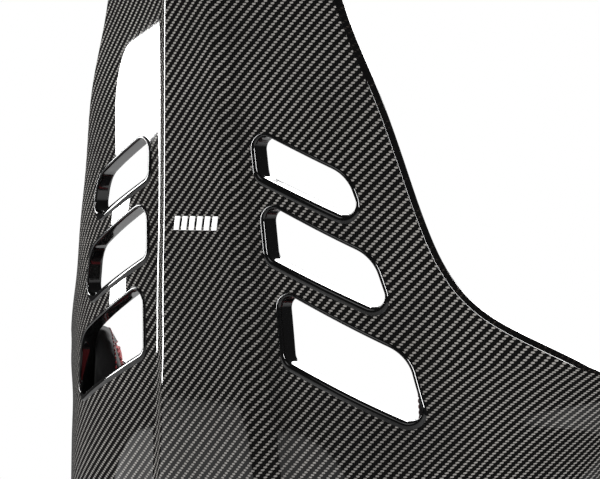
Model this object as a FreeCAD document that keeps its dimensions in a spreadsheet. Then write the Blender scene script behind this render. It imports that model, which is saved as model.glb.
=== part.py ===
import FreeCAD
import Part
import Sketcher
import math
import os

# Fixed-back racing seat on double-locking slide rails, in millimetres.
# +Z is up, the sitter faces -Y, and the origin is the centre of the four floor bolts, at floor level.
# The shell is lofted over cross-sections ("stations") along its centre line, from the top of the head
# to the front lip. Each section lies in a plane through the shell's pivot line: level planes for the
# back, a fan of planes round the hip, upright planes for the pan.

DIMENSIONS = {
    # shell laminate and its spine
    "shell_wall": 12.0,
    "pivot_depth": -110.0,
    "pivot_height": 430.0,
    "flank_slope": 36.0,
    "head_crown": 12.0, "head_crown_reach": 110.0,
    "flank_blend": 3.0,
    # openings in the shell
    "vent_slope": 0.435, "vent_top_slope": 0.485,
    "vent_corner": 9.0,
    "vent_leaf_corner": 30.0,
    "vent_1_inner": 59.5, "vent_1_top": 609.0, "vent_1_bottom": 573.5, "vent_1_reach": 146.5,
    "vent_2_inner": 66.0, "vent_2_top": 553.0, "vent_2_bottom": 509.5, "vent_2_reach": 165.0,
    "vent_3_inner": 77.0, "vent_3_top": 485.0, "vent_3_bottom": 429.5, "vent_3_reach": 188.5,
    "vent_tip": 13.5,
    "window_inner": 31.0, "window_outer": 102.0, "window_low": 739.0, "window_high": 798.0,
    "window_corner": 16.0,
    "lap_front": -8.0, "lap_back": 88.0, "lap_low": 170.0, "lap_high": 206.0, "lap_corner": 15.0,
    "crotch_half": 52.0, "crotch_front": -162.0, "crotch_back": -126.0, "crotch_corner": 14.0,
    "trim_wall": 3.0, "trim_proud": 2.0,
    # padding
    "pad_gap": 0.6, "head_pad_thick": 34.0, "back_pad_thick": 30.0, "lumbar_pad_thick": 38.0,
    "wing_pad_thick": 26.0, "seat_pad_thick": 46.0, "thigh_pad_thick": 20.0,
    "hook_gap": 0.5, "hook_thick": 1.6,
    "badge_thick": 0.8, "badge_gap": 0.1,
    # side mounts
    "mount_plane": 216.6, "mount_gap": 0.1, "plate_thick": 4.0, "plate_high": 136.0,
    "plate_front": 185.0, "plate_back": 140.0, "foot_wide": 40.0, "waist_high": 44.0,
    "waist_front": 108.0, "waist_back": 78.0, "side_front": 150.0, "side_back": 112.0,
    "side_low": 148.0, "slot_half": 11.0, "bolt_radius": 4.0, "bolt_hole": 4.25,
    "insert_radius": 8.0, "washer_radius": 9.0, "washer_thick": 1.6, "head_radius": 6.5, "head_high": 6.0,
    "socket_radius": 3.2, "socket_deep": 3.5,
    # slide rails
    "rail_spacing": 480.0, "rail_long": 380.0, "rail_wide": 40.0, "rail_high": 18.0, "rail_wall": 2.5,
    "rail_lip": 9.0, "floor_spacing": 300.0,
    "runner_foot_wide": 27.0, "runner_neck": 12.0, "runner_high": 30.0, "runner_long": 360.0,
    "runner_foot": 2.5, "runner_top": 4.0, "runner_top_wide": 36.0, "runner_lift": 5.0,
    "glide_long": 24.0, "glide_gap": 0.35, "glide_place": 85.0, "stop_long": 5.0, "stop_high": 1.9,
    "rail_bolt_place": 130.0, "rail_bolt_radius": 3.0, "rail_bolt_hole": 3.4, "rail_bolt_deep": 12.0,
    "notch_long": 9.0, "notch_deep": 4.5, "notch_wide": 7.5, "notch_pitch": 15.0, "notch_count": 17.0,
    # release bar
    "bar_radius": 6.0, "bar_bend": 30.0, "bar_front": 318.0, "bar_weld": 205.0, "pivot_place": 60.0,
    "pivot_high": 22.0, "lever_thick": 3.0, "lever_gap": 4.4, "lever_half": 6.0, "pin_radius": 2.5,
    "pin_gap": 0.1, "pin_head_radius": 4.5, "pin_head_thick": 1.5, "tooth_long": 7.0, "tooth_high": 3.5,
    "tooth_reach": 1.6, "tooth_clear": 0.6, "tooth_count": 3.0, "spring_wire": 0.8, "spring_radius": 4.2,
    "spring_pitch": 1.3, "spring_long": 6.5, "spring_slack": 1.2, "grip_long": 130.0, "grip_wall": 2.5,
}

# Stations along the centre line. "run" counts along it from the top of the head, "y" and "z" place it,
# "plateau" is half the raised spine's width and "rise" its height, "near" and "far" are the panel's slopes
# beside the spine and out on the wing, "bend" and "turn" say where the panel bends to the wing and the
# wing turns to the wall, each with its half length, and "rim" is the girth from the spine's foot to the rim.
STATION_NAMES = (
    "run", "y", "z", "plateau", "rise", "near", "far", "bend", "bend_half", "wall", "turn", "turn_half", "rim",
)
STATIONS = (
    (0, 299, 995, 16, 0.5, 14, 42, 110, 80, 80, 210, 60, 96),
    (14, 300.5, 981, 16, 0.8, 14, 42, 110, 80, 80, 210, 60, 124),
    (40, 303, 955, 16, 1.5, 15, 42, 110, 80, 80, 210, 60, 142),
    (90, 304, 905, 16, 3.5, 17, 42, 112, 80, 80, 212, 60, 150),
    (150, 301.5, 845, 16, 5, 19, 43, 114, 76, 80, 218, 60, 143),
    (205, 296, 790, 16, 6, 20, 44, 116, 74, 80, 225, 60, 112),
    (245, 291.5, 750, 19, 6, 18, 44, 118, 72, 80, 235, 60, 99),
    (287, 287, 708, 23, 6, 16, 44, 120, 70, 80, 245, 60, 101),
    (350, 280.6, 645, 28, 6, 12, 44, 116, 74, 82, 262, 60, 122),
    (410, 275, 585, 32, 6.4, 10, 43, 110, 84, 86, 278, 60, 139),
    (465, 270, 530, 36, 7.3, 8, 42, 108, 90, 88, 288, 60, 153),
    (500, 266.9, 495, 39, 8, 8, 42, 108, 90, 90, 292, 60, 167),
    (530, 264.2, 465, 41, 9, 8, 41, 108, 90, 90, 292, 60, 197),
    (565, 261.3, 430, 43, 10, 7, 42, 107, 88, 90, 288, 60, 266),
    (595, 258.8, 400, 46, 10.6, 7, 42, 106, 86, 90, 282, 60, 310),
    (635, 255.6, 360, 49, 11.2, 7, 43, 105, 84, 90, 272, 60, 338),
    (685, 251.4, 310, 54, 12, 7, 44, 104, 80, 90, 256, 58, 356),
    (745, 246.4, 250, 58, 11, 7, 46, 106, 72, 90, 234, 54, 366),
    (805, 240, 190, 60, 8, 6, 48, 114, 56, 90, 198, 46, 368),
    (866, 222, 132, 61, 4, 4, 48, 121, 38, 90, 166, 36, 358),
    (940, 167, 82, 62, 1.5, 3, 48, 122, 34, 90, 162, 34, 354),
    (1022, 92, 62, 62, 1.5, 3, 48, 122, 34, 90, 162, 34, 338),
    (1114, 0, 58, 62, 1.5, 3, 48, 122, 34, 90, 162, 34, 318),
    (1224, -110, 64, 62, 1.5, 3, 48, 122, 34, 90, 162, 34, 308),
    (1315, -200, 79, 62, 1.5, 3, 48, 122, 34, 90, 162, 34, 304),
    (1366, -250, 89, 62, 1.5, 3, 48, 122, 34, 90, 162, 34, 286),
    (1400, -283, 95, 62, 1.5, 3, 48, 122, 34, 90, 162, 34, 256),
    (1422, -305, 98, 62, 1.5, 3, 48, 122, 34, 90, 162, 34, 205),
)
LAST_RUN = float(STATIONS[-1][0])
GIRTH_STEP = 1.0
GIRTH_LIMIT = 480

SIDES = (("left", 1), ("right", -1))
VENTS = (1, 2, 3)

doc = FreeCAD.newDocument("racing_seat")
sheet = doc.addObject("Spreadsheet::Sheet", "dimensions")
for row, (alias, value) in enumerate(DIMENSIONS.items(), start=1):
    sheet.set(f"A{row}", alias)
    sheet.set(f"B{row}", str(value))
    sheet.setAlias(f"B{row}", alias)
doc.recompute()

nodes = []


def size(alias):
    """A driving dimension, read from the sheet."""
    return float(sheet.get(alias))


class Measure:
    """A length that carries both its value and the sheet expression that gives it."""

    def __init__(self, value, text):
        self.value = value
        self.text = text

    def __add__(self, other):
        return Measure(self.value + other.value, f"({self.text} + {other.text})")

    def __sub__(self, other):
        return Measure(self.value - other.value, f"({self.text} - {other.text})")

    def __mul__(self, factor):
        return Measure(self.value * factor, f"({self.text} * {factor})")

    def __neg__(self):
        return self * -1


def dim(alias):
    """A driving dimension as a measure, for binding."""
    return Measure(size(alias), f"<<dimensions>>.{alias}")


ZERO = Measure(0.0, "0")


def keep(feature, name):
    """Label a finished sub-part and list it for export."""
    feature.Label = name
    nodes.append(feature)
    return feature


def shaped(name, shape):
    """A sub-part whose shape is made by Part's own functions."""
    feature = doc.addObject("Part::Feature", name)
    feature.Shape = shape
    feature.Placement = shape.Placement
    return keep(feature, name)


# ---------------------------------------------------------------- the shell's surface

def spline_moments(knots, values):
    """Second derivatives of the natural cubic spline through the values."""
    count = len(knots)
    moments = [0.0] * count
    diagonal = [1.0] * count
    right = [0.0] * count
    for i in range(1, count - 1):
        low = knots[i] - knots[i - 1]
        high = knots[i + 1] - knots[i]
        slope_change = (values[i + 1] - values[i]) / high - (values[i] - values[i - 1]) / low
        carry = low / diagonal[i - 1] if i > 1 else 0.0
        diagonal[i] = 2.0 * (low + high) - carry * low
        right[i] = 6.0 * slope_change - carry * right[i - 1]
    for i in range(count - 2, 0, -1):
        high = knots[i + 1] - knots[i]
        moments[i] = (right[i] - high * moments[i + 1]) / diagonal[i]
    return moments


KNOTS = [float(row[0]) for row in STATIONS]
COLUMNS = {name: [float(row[i]) for row in STATIONS] for i, name in enumerate(STATION_NAMES) if i}
MOMENTS = {name: spline_moments(KNOTS, values) for name, values in COLUMNS.items()}


def station_value(name, run):
    """One station quantity at any run along the centre line."""
    run = min(max(run, 0.0), LAST_RUN)
    i = 0
    while i < len(KNOTS) - 2 and run > KNOTS[i + 1]:
        i += 1
    values = COLUMNS[name]
    moments = MOMENTS[name]
    span = KNOTS[i + 1] - KNOTS[i]
    after = (run - KNOTS[i]) / span
    before = 1.0 - after
    bow = (before ** 3 - before) * moments[i] + (after ** 3 - after) * moments[i + 1]
    return before * values[i] + after * values[i + 1] + bow * span * span / 6.0


def ease(position):
    """Smooth step from 0 at -1 to 1 at +1."""
    share = min(max((position + 1.0) / 2.0, 0.0), 1.0)
    return share * share * (3.0 - 2.0 * share)


def depth_direction(y, z):
    """Unit vector, in the upright plane, along which a section's depth is measured."""
    pivot_y = size("pivot_depth")
    pivot_z = size("pivot_height")
    if z >= pivot_z:
        return -1.0, 0.0
    if y <= pivot_y:
        return 0.0, 1.0
    reach = math.hypot(pivot_y - y, pivot_z - z)
    return (pivot_y - y) / reach, (pivot_z - z) / reach


SECTIONS = {}


def section(run):
    """Half a section's outline: its placing, and half width and depth at every girth step."""
    run = min(max(run, 0.0), LAST_RUN)
    key = round(run, 3)
    if key in SECTIONS:
        return SECTIONS[key]
    here = {name: station_value(name, run) for name in COLUMNS}
    flank = here["rise"] / math.sin(math.radians(size("flank_slope")))
    foot = here["plateau"] + flank
    blend = size("flank_blend")
    widths = [0.0]
    depths = [0.0]
    for step in range(GIRTH_LIMIT):
        girth = (step + 0.5) * GIRTH_STEP
        beyond = girth - foot
        ridge = ease((girth - here["plateau"]) / blend) - ease(beyond / blend)
        panel = here["near"]
        panel += (here["far"] - here["near"]) * ease((beyond - here["bend"]) / here["bend_half"])
        panel += (here["wall"] - here["far"]) * ease((beyond - here["turn"]) / here["turn_half"])
        angle = math.radians(size("flank_slope") * ridge + panel * ease(beyond / blend))
        widths.append(widths[-1] + GIRTH_STEP * math.cos(angle))
        depths.append(depths[-1] + GIRTH_STEP * math.sin(angle))
    here["foot"] = foot
    here["direction"] = depth_direction(here["y"], here["z"])
    here["widths"] = widths
    here["depths"] = depths
    SECTIONS[key] = here
    return here


def along(values, girth):
    """A section's width or depth at a girth, between its steps."""
    place = min(max(girth / GIRTH_STEP, 0.0), GIRTH_LIMIT - 1.0)
    low = int(place)
    return values[low] + (place - low) * (values[low + 1] - values[low])


def smooth_depth(here, girth):
    """Depth at a girth as if the shell had no raised spine, but a shallow bow across it."""
    foot_depth = along(here["depths"], here["foot"])
    if girth >= here["foot"]:
        return along(here["depths"], girth)
    foot_width = along(here["widths"], here["foot"])
    width = along(here["widths"], girth)
    slope = math.tan(math.radians(here["near"]))
    return foot_depth - slope * (foot_width ** 2 - width ** 2) / (2.0 * foot_width)


def crowned(run, girth):
    """The run that a girth line reaches once the head's top edge is crowned."""
    fade = max(0.0, 1.0 - run / size("head_crown_reach"))
    return run + size("head_crown") * (girth / 100.0) ** 2 * fade * fade


def smooth_point(run, girth):
    """A point of the shell's rear surface as if it had no raised spine."""
    here = section(crowned(run, girth))
    width = along(here["widths"], abs(girth))
    depth = smooth_depth(here, abs(girth))
    along_y, along_z = here["direction"]
    side = math.copysign(1.0, girth)
    return FreeCAD.Vector(side * width, here["y"] + depth * along_y, here["z"] + depth * along_z)


def inward(run, girth):
    """Unit normal of the smooth surface, towards the sitter."""
    step = 2.0
    run = min(max(run, step), LAST_RUN - step)
    down = smooth_point(run + step, girth) - smooth_point(run - step, girth)
    across = smooth_point(run, girth + step) - smooth_point(run, girth - step)
    normal = down.cross(across)
    normal.normalize()
    return normal


def shell_point(run, girth, inset):
    """A point of the shell. Inset 0 is the rear face; the wall lies between 0 and shell_wall."""
    here = section(crowned(run, girth))
    base = smooth_point(run, girth)
    normal = inward(run, girth)
    if inset > 0.0:
        return base + normal * inset
    ridge = smooth_depth(here, abs(girth)) - along(here["depths"], abs(girth))
    along_y, along_z = here["direction"]
    return base - FreeCAD.Vector(0.0, along_y, along_z) * ridge + normal * inset


def spread(low, high, count):
    """Evenly spaced values from low to high."""
    return [low + (high - low) * i / (count - 1) for i in range(count)]


def smooth_surface(grid):
    """A cubic surface steered by a grid of points, which it meets along its four edges' ends."""
    degree = 3
    knots = []
    counts = []
    for count in (len(grid), len(grid[0])):
        inner = count - degree - 1
        knots.append([float(i) for i in range(inner + 2)])
        counts.append([degree + 1] + [1] * inner + [degree + 1])
    surface = Part.BSplineSurface()
    surface.buildFromPolesMultsKnots(grid, counts[0], counts[1], knots[0], knots[1], False, False,
                                     degree, degree)
    return surface


def band_solid(runs, girths_at, low_at, high_at):
    """A closed solid between two insets of the shell, over a grid of runs and girths."""
    skins = []
    for inset_at in (low_at, high_at):
        grid = []
        for run in runs:
            grid.append([shell_point(run, girth, inset_at(run, girth)) for girth in girths_at(run)])
        skins.append(smooth_surface(grid))
    faces = [surface.toShape() for surface in skins]
    for iso in ("uIso", "vIso"):
        low, high = skins[0].bounds()[:2] if iso == "uIso" else skins[0].bounds()[2:]
        low_2, high_2 = skins[1].bounds()[:2] if iso == "uIso" else skins[1].bounds()[2:]
        for first, second in ((low, low_2), (high, high_2)):
            edge = getattr(skins[0], iso)(first).toShape()
            other = getattr(skins[1], iso)(second).toShape()
            faces.append(Part.makeRuledSurface(edge, other))
    shell = Part.makeShell(faces)
    shell.sewShape()
    solid = Part.makeSolid(Part.makeShell(shell.Faces))
    if solid.Volume < 0.0:
        solid.reverse()
    return solid


def rounded_outline(corners, radii):
    """A flat closed wire through the corners, each rounded by its radius."""
    count = len(corners)
    starts = []
    edges = []
    for i in range(count):
        before = corners[i - 1]
        corner = corners[i]
        after = corners[(i + 1) % count]
        back = (before - corner).normalize()
        ahead = (after - corner).normalize()
        half = back.getAngle(ahead) / 2.0
        trim = radii[i] / math.tan(half)
        first = corner + back * trim
        last = corner + ahead * trim
        middle_way = (back + ahead).normalize()
        middle = corner + middle_way * (radii[i] / math.sin(half) - radii[i])
        starts.append((first, middle, last))
    for i in range(count):
        first, middle, last = starts[i]
        edges.append(Part.Arc(first, middle, last).toShape())
        edges.append(Part.makeLine(last, starts[(i + 1) % count][0]))
    return Part.Wire(Part.__sortEdges__(edges))


def prism(wire, start, reach):
    """The solid swept by a flat wire from start along reach."""
    moved = wire.copy()
    moved.translate(start)
    return Part.Face(moved).extrude(reach)


# ---------------------------------------------------------------- parametric helpers

def bind(feature, **properties):
    """Bind a feature's properties to measures."""
    for name, measure in properties.items():
        feature.setExpression(name, measure.text)


def place(feature, x, y, z):
    """Bind the position of a feature's placement."""
    feature.setExpression("Placement.Base.x", x.text)
    feature.setExpression("Placement.Base.y", y.text)
    feature.setExpression("Placement.Base.z", z.text)


def turned(feature, axis, angle):
    """Turn a feature about an axis through its own origin."""
    feature.Placement.Rotation = FreeCAD.Rotation(axis, angle)
    return feature


X_AXIS = FreeCAD.Vector(1, 0, 0)
Y_AXIS = FreeCAD.Vector(0, 1, 0)
Z_AXIS = FreeCAD.Vector(0, 0, 1)


def new_body(name):
    return doc.addObject("PartDesign::Body", name)


def attached_sketch(body, name, role):
    """A sketch on one of the body's own origin planes."""
    sketch = body.newObject("Sketcher::SketchObject", name)
    planes = [feature for feature in body.Origin.OriginFeatures if feature.Role == role]
    sketch.AttachmentSupport = (planes[0], "")
    sketch.MapMode = "FlatFace"
    return sketch


def hold(sketch, geometry, point, x, y):
    """Fix one sketch point at two measures from the sketch's origin."""
    for kind, measure, axis in (("DistanceX", x, -2), ("DistanceY", y, -1)):
        if abs(measure.value) < 1e-9:
            sketch.addConstraint(Sketcher.Constraint("PointOnObject", geometry, point, axis))
        else:
            index = sketch.addConstraint(Sketcher.Constraint(kind, -1, 1, geometry, point, measure.value))
            sketch.setExpression(f"Constraints[{index}]", measure.text)


def polygon(body, name, role, corners):
    """A closed polygon sketch whose corners are bound to measures."""
    sketch = attached_sketch(body, name, role)
    count = len(corners)
    for i, (x, y) in enumerate(corners):
        next_x, next_y = corners[(i + 1) % count]
        start = FreeCAD.Vector(x.value, y.value, 0)
        end = FreeCAD.Vector(next_x.value, next_y.value, 0)
        sketch.addGeometry(Part.LineSegment(start, end), False)
    for i in range(count):
        sketch.addConstraint(Sketcher.Constraint("Coincident", i, 2, (i + 1) % count, 1))
    for i, (x, y) in enumerate(corners):
        hold(sketch, i, 1, x, y)
    return sketch


def circles(body, name, role, centres, radius):
    """A sketch of equal circles whose centres and radius are bound to measures."""
    sketch = attached_sketch(body, name, role)
    for i, (x, y) in enumerate(centres):
        centre = FreeCAD.Vector(x.value, y.value, 0)
        sketch.addGeometry(Part.Circle(centre, FreeCAD.Vector(0, 0, 1), radius.value), False)
        hold(sketch, i, 3, x, y)
        index = sketch.addConstraint(Sketcher.Constraint("Radius", i, radius.value))
        sketch.setExpression(f"Constraints[{index}]", radius.text)
    return sketch


def pad(body, sketch, length):
    """Pad a sketch evenly to both sides of its plane."""
    feature = body.newObject("PartDesign::Pad", sketch.Name + "_pad")
    feature.Profile = sketch
    feature.SideType = "Symmetric"
    bind(feature, Length=length)
    return feature


def cut_through(body, sketch):
    """Cut a sketch through the whole body, and make sure that it took something away."""
    doc.recompute()
    before = body.Shape.Volume
    feature = body.newObject("PartDesign::Pocket", sketch.Name + "_cut")
    feature.Profile = sketch
    feature.Type = "ThroughAll"
    feature.SideType = "Symmetric"
    doc.recompute()
    if body.Shape.Volume > before - 0.1:
        raise RuntimeError(f"{feature.Name} removes nothing")
    return feature


def cylinder(name, radius, height):
    feature = doc.addObject("Part::Cylinder", name)
    bind(feature, Radius=radius, Height=height)
    return feature


def joined(name, features):
    feature = doc.addObject("Part::MultiFuse", name)
    feature.Shapes = features
    return feature


def cut_from(name, base, tool):
    feature = doc.addObject("Part::Cut", name)
    feature.Base = base
    feature.Tool = tool
    return feature


def group(name, features):
    """One node of several separate solids."""
    feature = doc.addObject("Part::Compound", name)
    feature.Links = features
    return keep(feature, name)


# ---------------------------------------------------------------- shell, trims and badge

def vent_corners(number, side):
    """The sharp corners of one leaf-shaped vent, in the upright plane across the seat."""
    inner = size(f"vent_{number}_inner")
    top = size(f"vent_{number}_top")
    bottom = size(f"vent_{number}_bottom")
    reach = size(f"vent_{number}_reach")
    tip = size("vent_tip")
    corners = (
        (inner - 3.0, top),
        (inner, bottom),
        (reach, bottom - size("vent_slope") * (reach - inner)),
        (reach - tip, top - size("vent_top_slope") * (reach - tip - inner)),
    )
    return [FreeCAD.Vector(side * x, 0.0, z) for x, z in corners]


def vent_outline(number, side):
    small = size("vent_corner")
    return rounded_outline(vent_corners(number, side), (small, small, small, size("vent_leaf_corner")))


def window_outline(side):
    """Outline of a shoulder belt window, in the upright plane across the seat."""
    inner, outer = size("window_inner"), size("window_outer")
    low, high = size("window_low"), size("window_high")
    corners = [(inner, low), (outer, low), (outer, high), (inner, high)]
    return rounded_outline([FreeCAD.Vector(side * x, 0, z) for x, z in corners], [size("window_corner")] * 4)


def lap_outline():
    """Outline of a lap belt slot, in the upright plane along the seat."""
    front, back, low, high = size("lap_front"), size("lap_back"), size("lap_low"), size("lap_high")
    corners = [(front, low), (back, low), (back, high), (front, high)]
    return rounded_outline([FreeCAD.Vector(0, y, z) for y, z in corners], [size("lap_corner")] * 4)


def crotch_outline():
    """Outline of the crotch belt slot, in the level plane."""
    half, front, back = size("crotch_half"), size("crotch_front"), size("crotch_back")
    corners = [(-half, front), (half, front), (half, back), (-half, back)]
    return rounded_outline([FreeCAD.Vector(x, y, 0) for x, y in corners], [size("crotch_corner")] * 4)


def widened(wire, margin):
    """A flat wire moved outwards by a margin, whichever way round it runs."""
    choices = [wire.makeOffset2D(margin), wire.makeOffset2D(-margin)]
    return max(choices, key=lambda shape: shape.BoundBox.DiagonalLength)


BACKWARD = FreeCAD.Vector(0, 200, 0)
BEHIND = FreeCAD.Vector(0, 130, 0)
SHELL_RUNS = (
    spread(0, 40, 9) + spread(50, 500, 31) + spread(507, 640, 20) + spread(652, 1360, 42)
    + spread(1370, 1422, 9)
)


def shell_girths(run):
    """Girths across a whole section, closer together over the spine's flanks."""
    here = section(run)
    top = here["plateau"]
    foot = here["foot"]
    rim = foot + here["rim"]
    half = [top * 0.55, top - 3.0, top, (top + foot) / 2.0, foot, foot + 3.5]
    half += spread(foot + 3.5, rim, 17)[1:]
    return [-girth for girth in reversed(half)] + [0.0] + half


def openings():
    """Every hole in the shell: its name, its outline, where its prism starts and which way it goes,
    and the runs and girths of the wall round it."""
    found = []
    for name, side in SIDES:
        for number in VENTS:
            inner, reach = size(f"vent_{number}_inner"), size(f"vent_{number}_reach")
            fall = size("vent_slope") * (reach - inner)
            runs = (1000.0 - size(f"vent_{number}_top") - 16.0,
                    1000.0 - size(f"vent_{number}_bottom") + fall + 16.0)
            girths = (side * (inner - 12.0), side * (reach + 45.0))
            found.append((f"vent_trim_{name}_{number}", vent_outline(number, side), BEHIND, BACKWARD,
                          runs, girths))
        found.append((f"shoulder_belt_trim_{name}", window_outline(side), BEHIND, BACKWARD,
                      (188.0, 270.0), (side * 20.0, side * 128.0)))
        found.append((f"lap_belt_trim_{name}", lap_outline(), FreeCAD.Vector(side * 185.0, 0, 0),
                      FreeCAD.Vector(side * 60.0, 0, 0), (890.0, 1110.0), (side * 240.0, side * 345.0)))
    found.append(("crotch_belt_trim", crotch_outline(), FreeCAD.Vector(0, 0, 40), FreeCAD.Vector(0, 0, 70),
                  (1205.0, 1300.0), (-64.0, 64.0)))
    return found


def make_shell_and_trims():
    """The one-piece shell with its holes, and a lipped trim ring lining each hole."""
    wall = size("shell_wall")
    shell = band_solid(SHELL_RUNS, shell_girths, lambda run, girth: 0.0, lambda run, girth: wall)
    proud = size("trim_proud")
    cutters = []
    trims = []
    for name, outline, start, reach, runs, girths in openings():
        outer = prism(widened(outline, size("trim_wall")), start, reach)
        ring = outer.cut(prism(outline, start, reach))
        patch_runs = spread(runs[0], runs[1], 9)
        patch_girths = spread(girths[0], girths[1], 15)
        band = band_solid(patch_runs, lambda run: patch_girths,
                          lambda run, girth: -proud, lambda run, girth: wall + proud)
        trims.append((name, ring.common(band)))
        cutters.append(outer)
    for _, side in SIDES:
        for y in (-size("side_front"), size("side_back")):
            start = FreeCAD.Vector(side * (size("mount_plane") - 20.0), y, size("side_low"))
            reach = FreeCAD.Vector(side, 0, 0)
            cutters.append(Part.makeCylinder(size("insert_radius"), 30.0, start, reach))
    shaped("shell", shell.cut(cutters))
    for name, shape in trims:
        shaped(name, shape)


def make_badge():
    """A plain bar standing a little proud of the raised spine."""
    girths = spread(-24.0, 24.0, 5)
    thick = size("badge_thick")
    gap = size("badge_gap")
    shaped("spine_badge", band_solid(spread(454.0, 465.0, 4), lambda run: girths,
                                     lambda run, girth: -thick - gap, lambda run, girth: -gap))


# ---------------------------------------------------------------- padding

def pad_inset():
    """Inset at which padding starts: behind it lie the shell's wall, a hook strip and a small gap."""
    return size("shell_wall") + size("hook_gap") + size("hook_thick") + size("pad_gap")


def pad_block(name, runs, inner_at, outer_at, thick, corner=0.97, side=0):
    """A pad that follows the shell between two girths, with rounded ends and a crowned front."""
    first, last = runs
    middle, half_run = (first + last) / 2.0, (last - first) / 2.0
    back = pad_inset()

    def share(run):
        return (run - middle) / half_run

    def girths(run):
        inner, outer = inner_at(run), outer_at(run)
        centre, half = (inner + outer) / 2.0, (outer - inner) / 2.0
        half *= (1.0 - abs(corner * share(run)) ** 5) ** 0.3
        across = spread(centre - half, centre + half, 15)
        return [side * girth for girth in across] if side else across

    def front(run, girth):
        inner, outer = inner_at(run), outer_at(run)
        across = (abs(girth) if side else girth) - (inner + outer) / 2.0
        across /= (outer - inner) / 2.0
        crown = (1.0 - 0.35 * across * across) * (1.0 - 0.3 * share(run) ** 4)
        return back + thick * crown

    shaped(name, band_solid(spread(first, last, 19), girths, lambda run, girth: back, front))


def rim_girth(run):
    here = section(run)
    return here["foot"] + here["rim"]


def make_pads():
    """Head, back, lumbar and seat pads on the centre line, and wing, hip and thigh pads on each side."""
    pad_block("head_pad", (22.0, 186.0), lambda run: -96.0, lambda run: 96.0, size("head_pad_thick"))
    pad_block("back_pad", (274.0, 640.0), lambda run: -38.0 - 0.13 * (run - 274.0),
              lambda run: 38.0 + 0.13 * (run - 274.0), size("back_pad_thick"))
    pad_block("lumbar_pad", (648.0, 842.0), lambda run: -118.0, lambda run: 118.0,
              size("lumbar_pad_thick"))
    for name, runs in (("seat_cushion", (990.0, 1232.0)), ("leg_cushion", (1284.0, 1408.0))):
        pad_block(name, runs, lambda run: -150.0, lambda run: 150.0, size("seat_pad_thick"))
    for name, side in SIDES:
        pad_block(f"wing_pad_{name}", (547.0, 728.0),
                  lambda run: 180.0 - 28.0 * ease((run - 668.0) / 60.0),
                  lambda run: rim_girth(run) - 16.0, size("wing_pad_thick"), side=side)
        pad_block(f"hip_pad_{name}", (784.0, 925.0), lambda run: 190.0,
                  lambda run: rim_girth(run) - 16.0, size("wing_pad_thick"), side=side)
        pad_block(f"thigh_pad_{name}", (1120.0, 1392.0), lambda run: 196.0,
                  lambda run: rim_girth(run) - 14.0, size("thigh_pad_thick"), side=side)


def make_hook_strips():
    """Hook-and-loop strips between the shell and the centre pads."""
    low = size("shell_wall") + size("hook_gap")
    high = low + size("hook_thick")
    places = {
        "hook_strips_back": ((60.0, 150.0), (300.0, 420.0), (470.0, 610.0), (670.0, 820.0)),
        "hook_strips_seat": ((1040.0, 1190.0), (1305.0, 1385.0)),
    }
    for name, spans in places.items():
        strips = []
        for first, last in spans:
            for centre in (-40.0, 40.0):
                girths = spread(centre - 12.0, centre + 12.0, 4)
                strips.append(band_solid(spread(first, last, 9), lambda run, across=girths: across,
                                         lambda run, girth: low, lambda run, girth: high))
        shaped(name, Part.Compound(strips))


# ---------------------------------------------------------------- side mounts

def cap_bolt(name, shank, radius, head, head_high):
    """A socket cap bolt along +Z, its head's seat at the origin and the shank below it."""
    rod = cylinder(name + "_shank", radius, shank)
    place(rod, ZERO, ZERO, -shank)
    top = cylinder(name + "_head", head, head_high)
    socket = doc.addObject("Part::Prism", name + "_socket")
    socket.Polygon = 6
    bind(socket, Circumradius=dim("socket_radius"), Height=head_high)
    place(socket, ZERO, ZERO, head_high - dim("socket_deep"))
    return cut_from(name, joined(name + "_blank", [rod, top]), socket)


def washer(name):
    outer = cylinder(name + "_outer", dim("washer_radius"), dim("washer_thick"))
    inner = cylinder(name + "_inner", dim("bolt_hole"), dim("washer_thick"))
    return cut_from(name, outer, inner)


def insert(name):
    outer = cylinder(name + "_outer", dim("insert_radius"), dim("shell_wall"))
    inner = cylinder(name + "_inner", dim("bolt_radius"), dim("shell_wall"))
    return cut_from(name, outer, inner)


def mount_places():
    """The along-seat positions of the two side-mount bolts."""
    return (("front", -dim("side_front")), ("back", dim("side_back")))


def make_brackets():
    """L-shaped side-mount plates, slotted for the shell bolts and drilled for the rail bolts."""
    thick, high, foot = dim("plate_thick"), dim("plate_high"), dim("foot_wide")
    for name, side in SIDES:
        body = new_body(f"side_bracket_{name}")
        profile = [(ZERO, ZERO), (foot, ZERO), (foot, thick), (thick, thick), (thick, high), (ZERO, high)]
        profile = [(x * side, z) for x, z in profile]
        pad(body, polygon(body, f"bracket_section_{name}", "XZ_Plane", profile), dim("plate_front") * 2)
        ahead, behind = dim("plate_front"), dim("plate_back")
        excess = dim("plate_front") * 2
        tail = [(behind, -high), (excess, -high), (excess, high * 2), (behind, high * 2)]
        cut_through(body, polygon(body, f"bracket_tail_{name}", "YZ_Plane", tail))
        waist = dim("waist_high")
        dip = [(-dim("waist_front"), high * 2), (-dim("waist_front") + waist, waist),
               (dim("waist_back") - waist, waist), (dim("waist_back"), high * 2)]
        cut_through(body, polygon(body, f"bracket_waist_{name}", "YZ_Plane", dip))
        bolt_rise = dim("side_low") - dim("runner_high")
        for end, y in mount_places():
            half, tall = dim("slot_half"), dim("bolt_hole")
            slot = [(y - half, bolt_rise - tall), (y + half, bolt_rise - tall),
                    (y + half, bolt_rise + tall), (y - half, bolt_rise + tall)]
            cut_through(body, polygon(body, f"bracket_slot_{name}_{end}", "YZ_Plane", slot))
        x = (dim("rail_spacing") * 0.5 - dim("mount_plane") - dim("mount_gap")) * side
        reach = dim("rail_bolt_place")
        cut_through(body, circles(body, f"bracket_holes_{name}", "XY_Plane", [(x, -reach), (x, reach)],
                                  dim("rail_bolt_hole")))
        place(body, (dim("mount_plane") + dim("mount_gap")) * side, ZERO, dim("runner_high"))
        keep(body, f"side_bracket_{name}")


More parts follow.
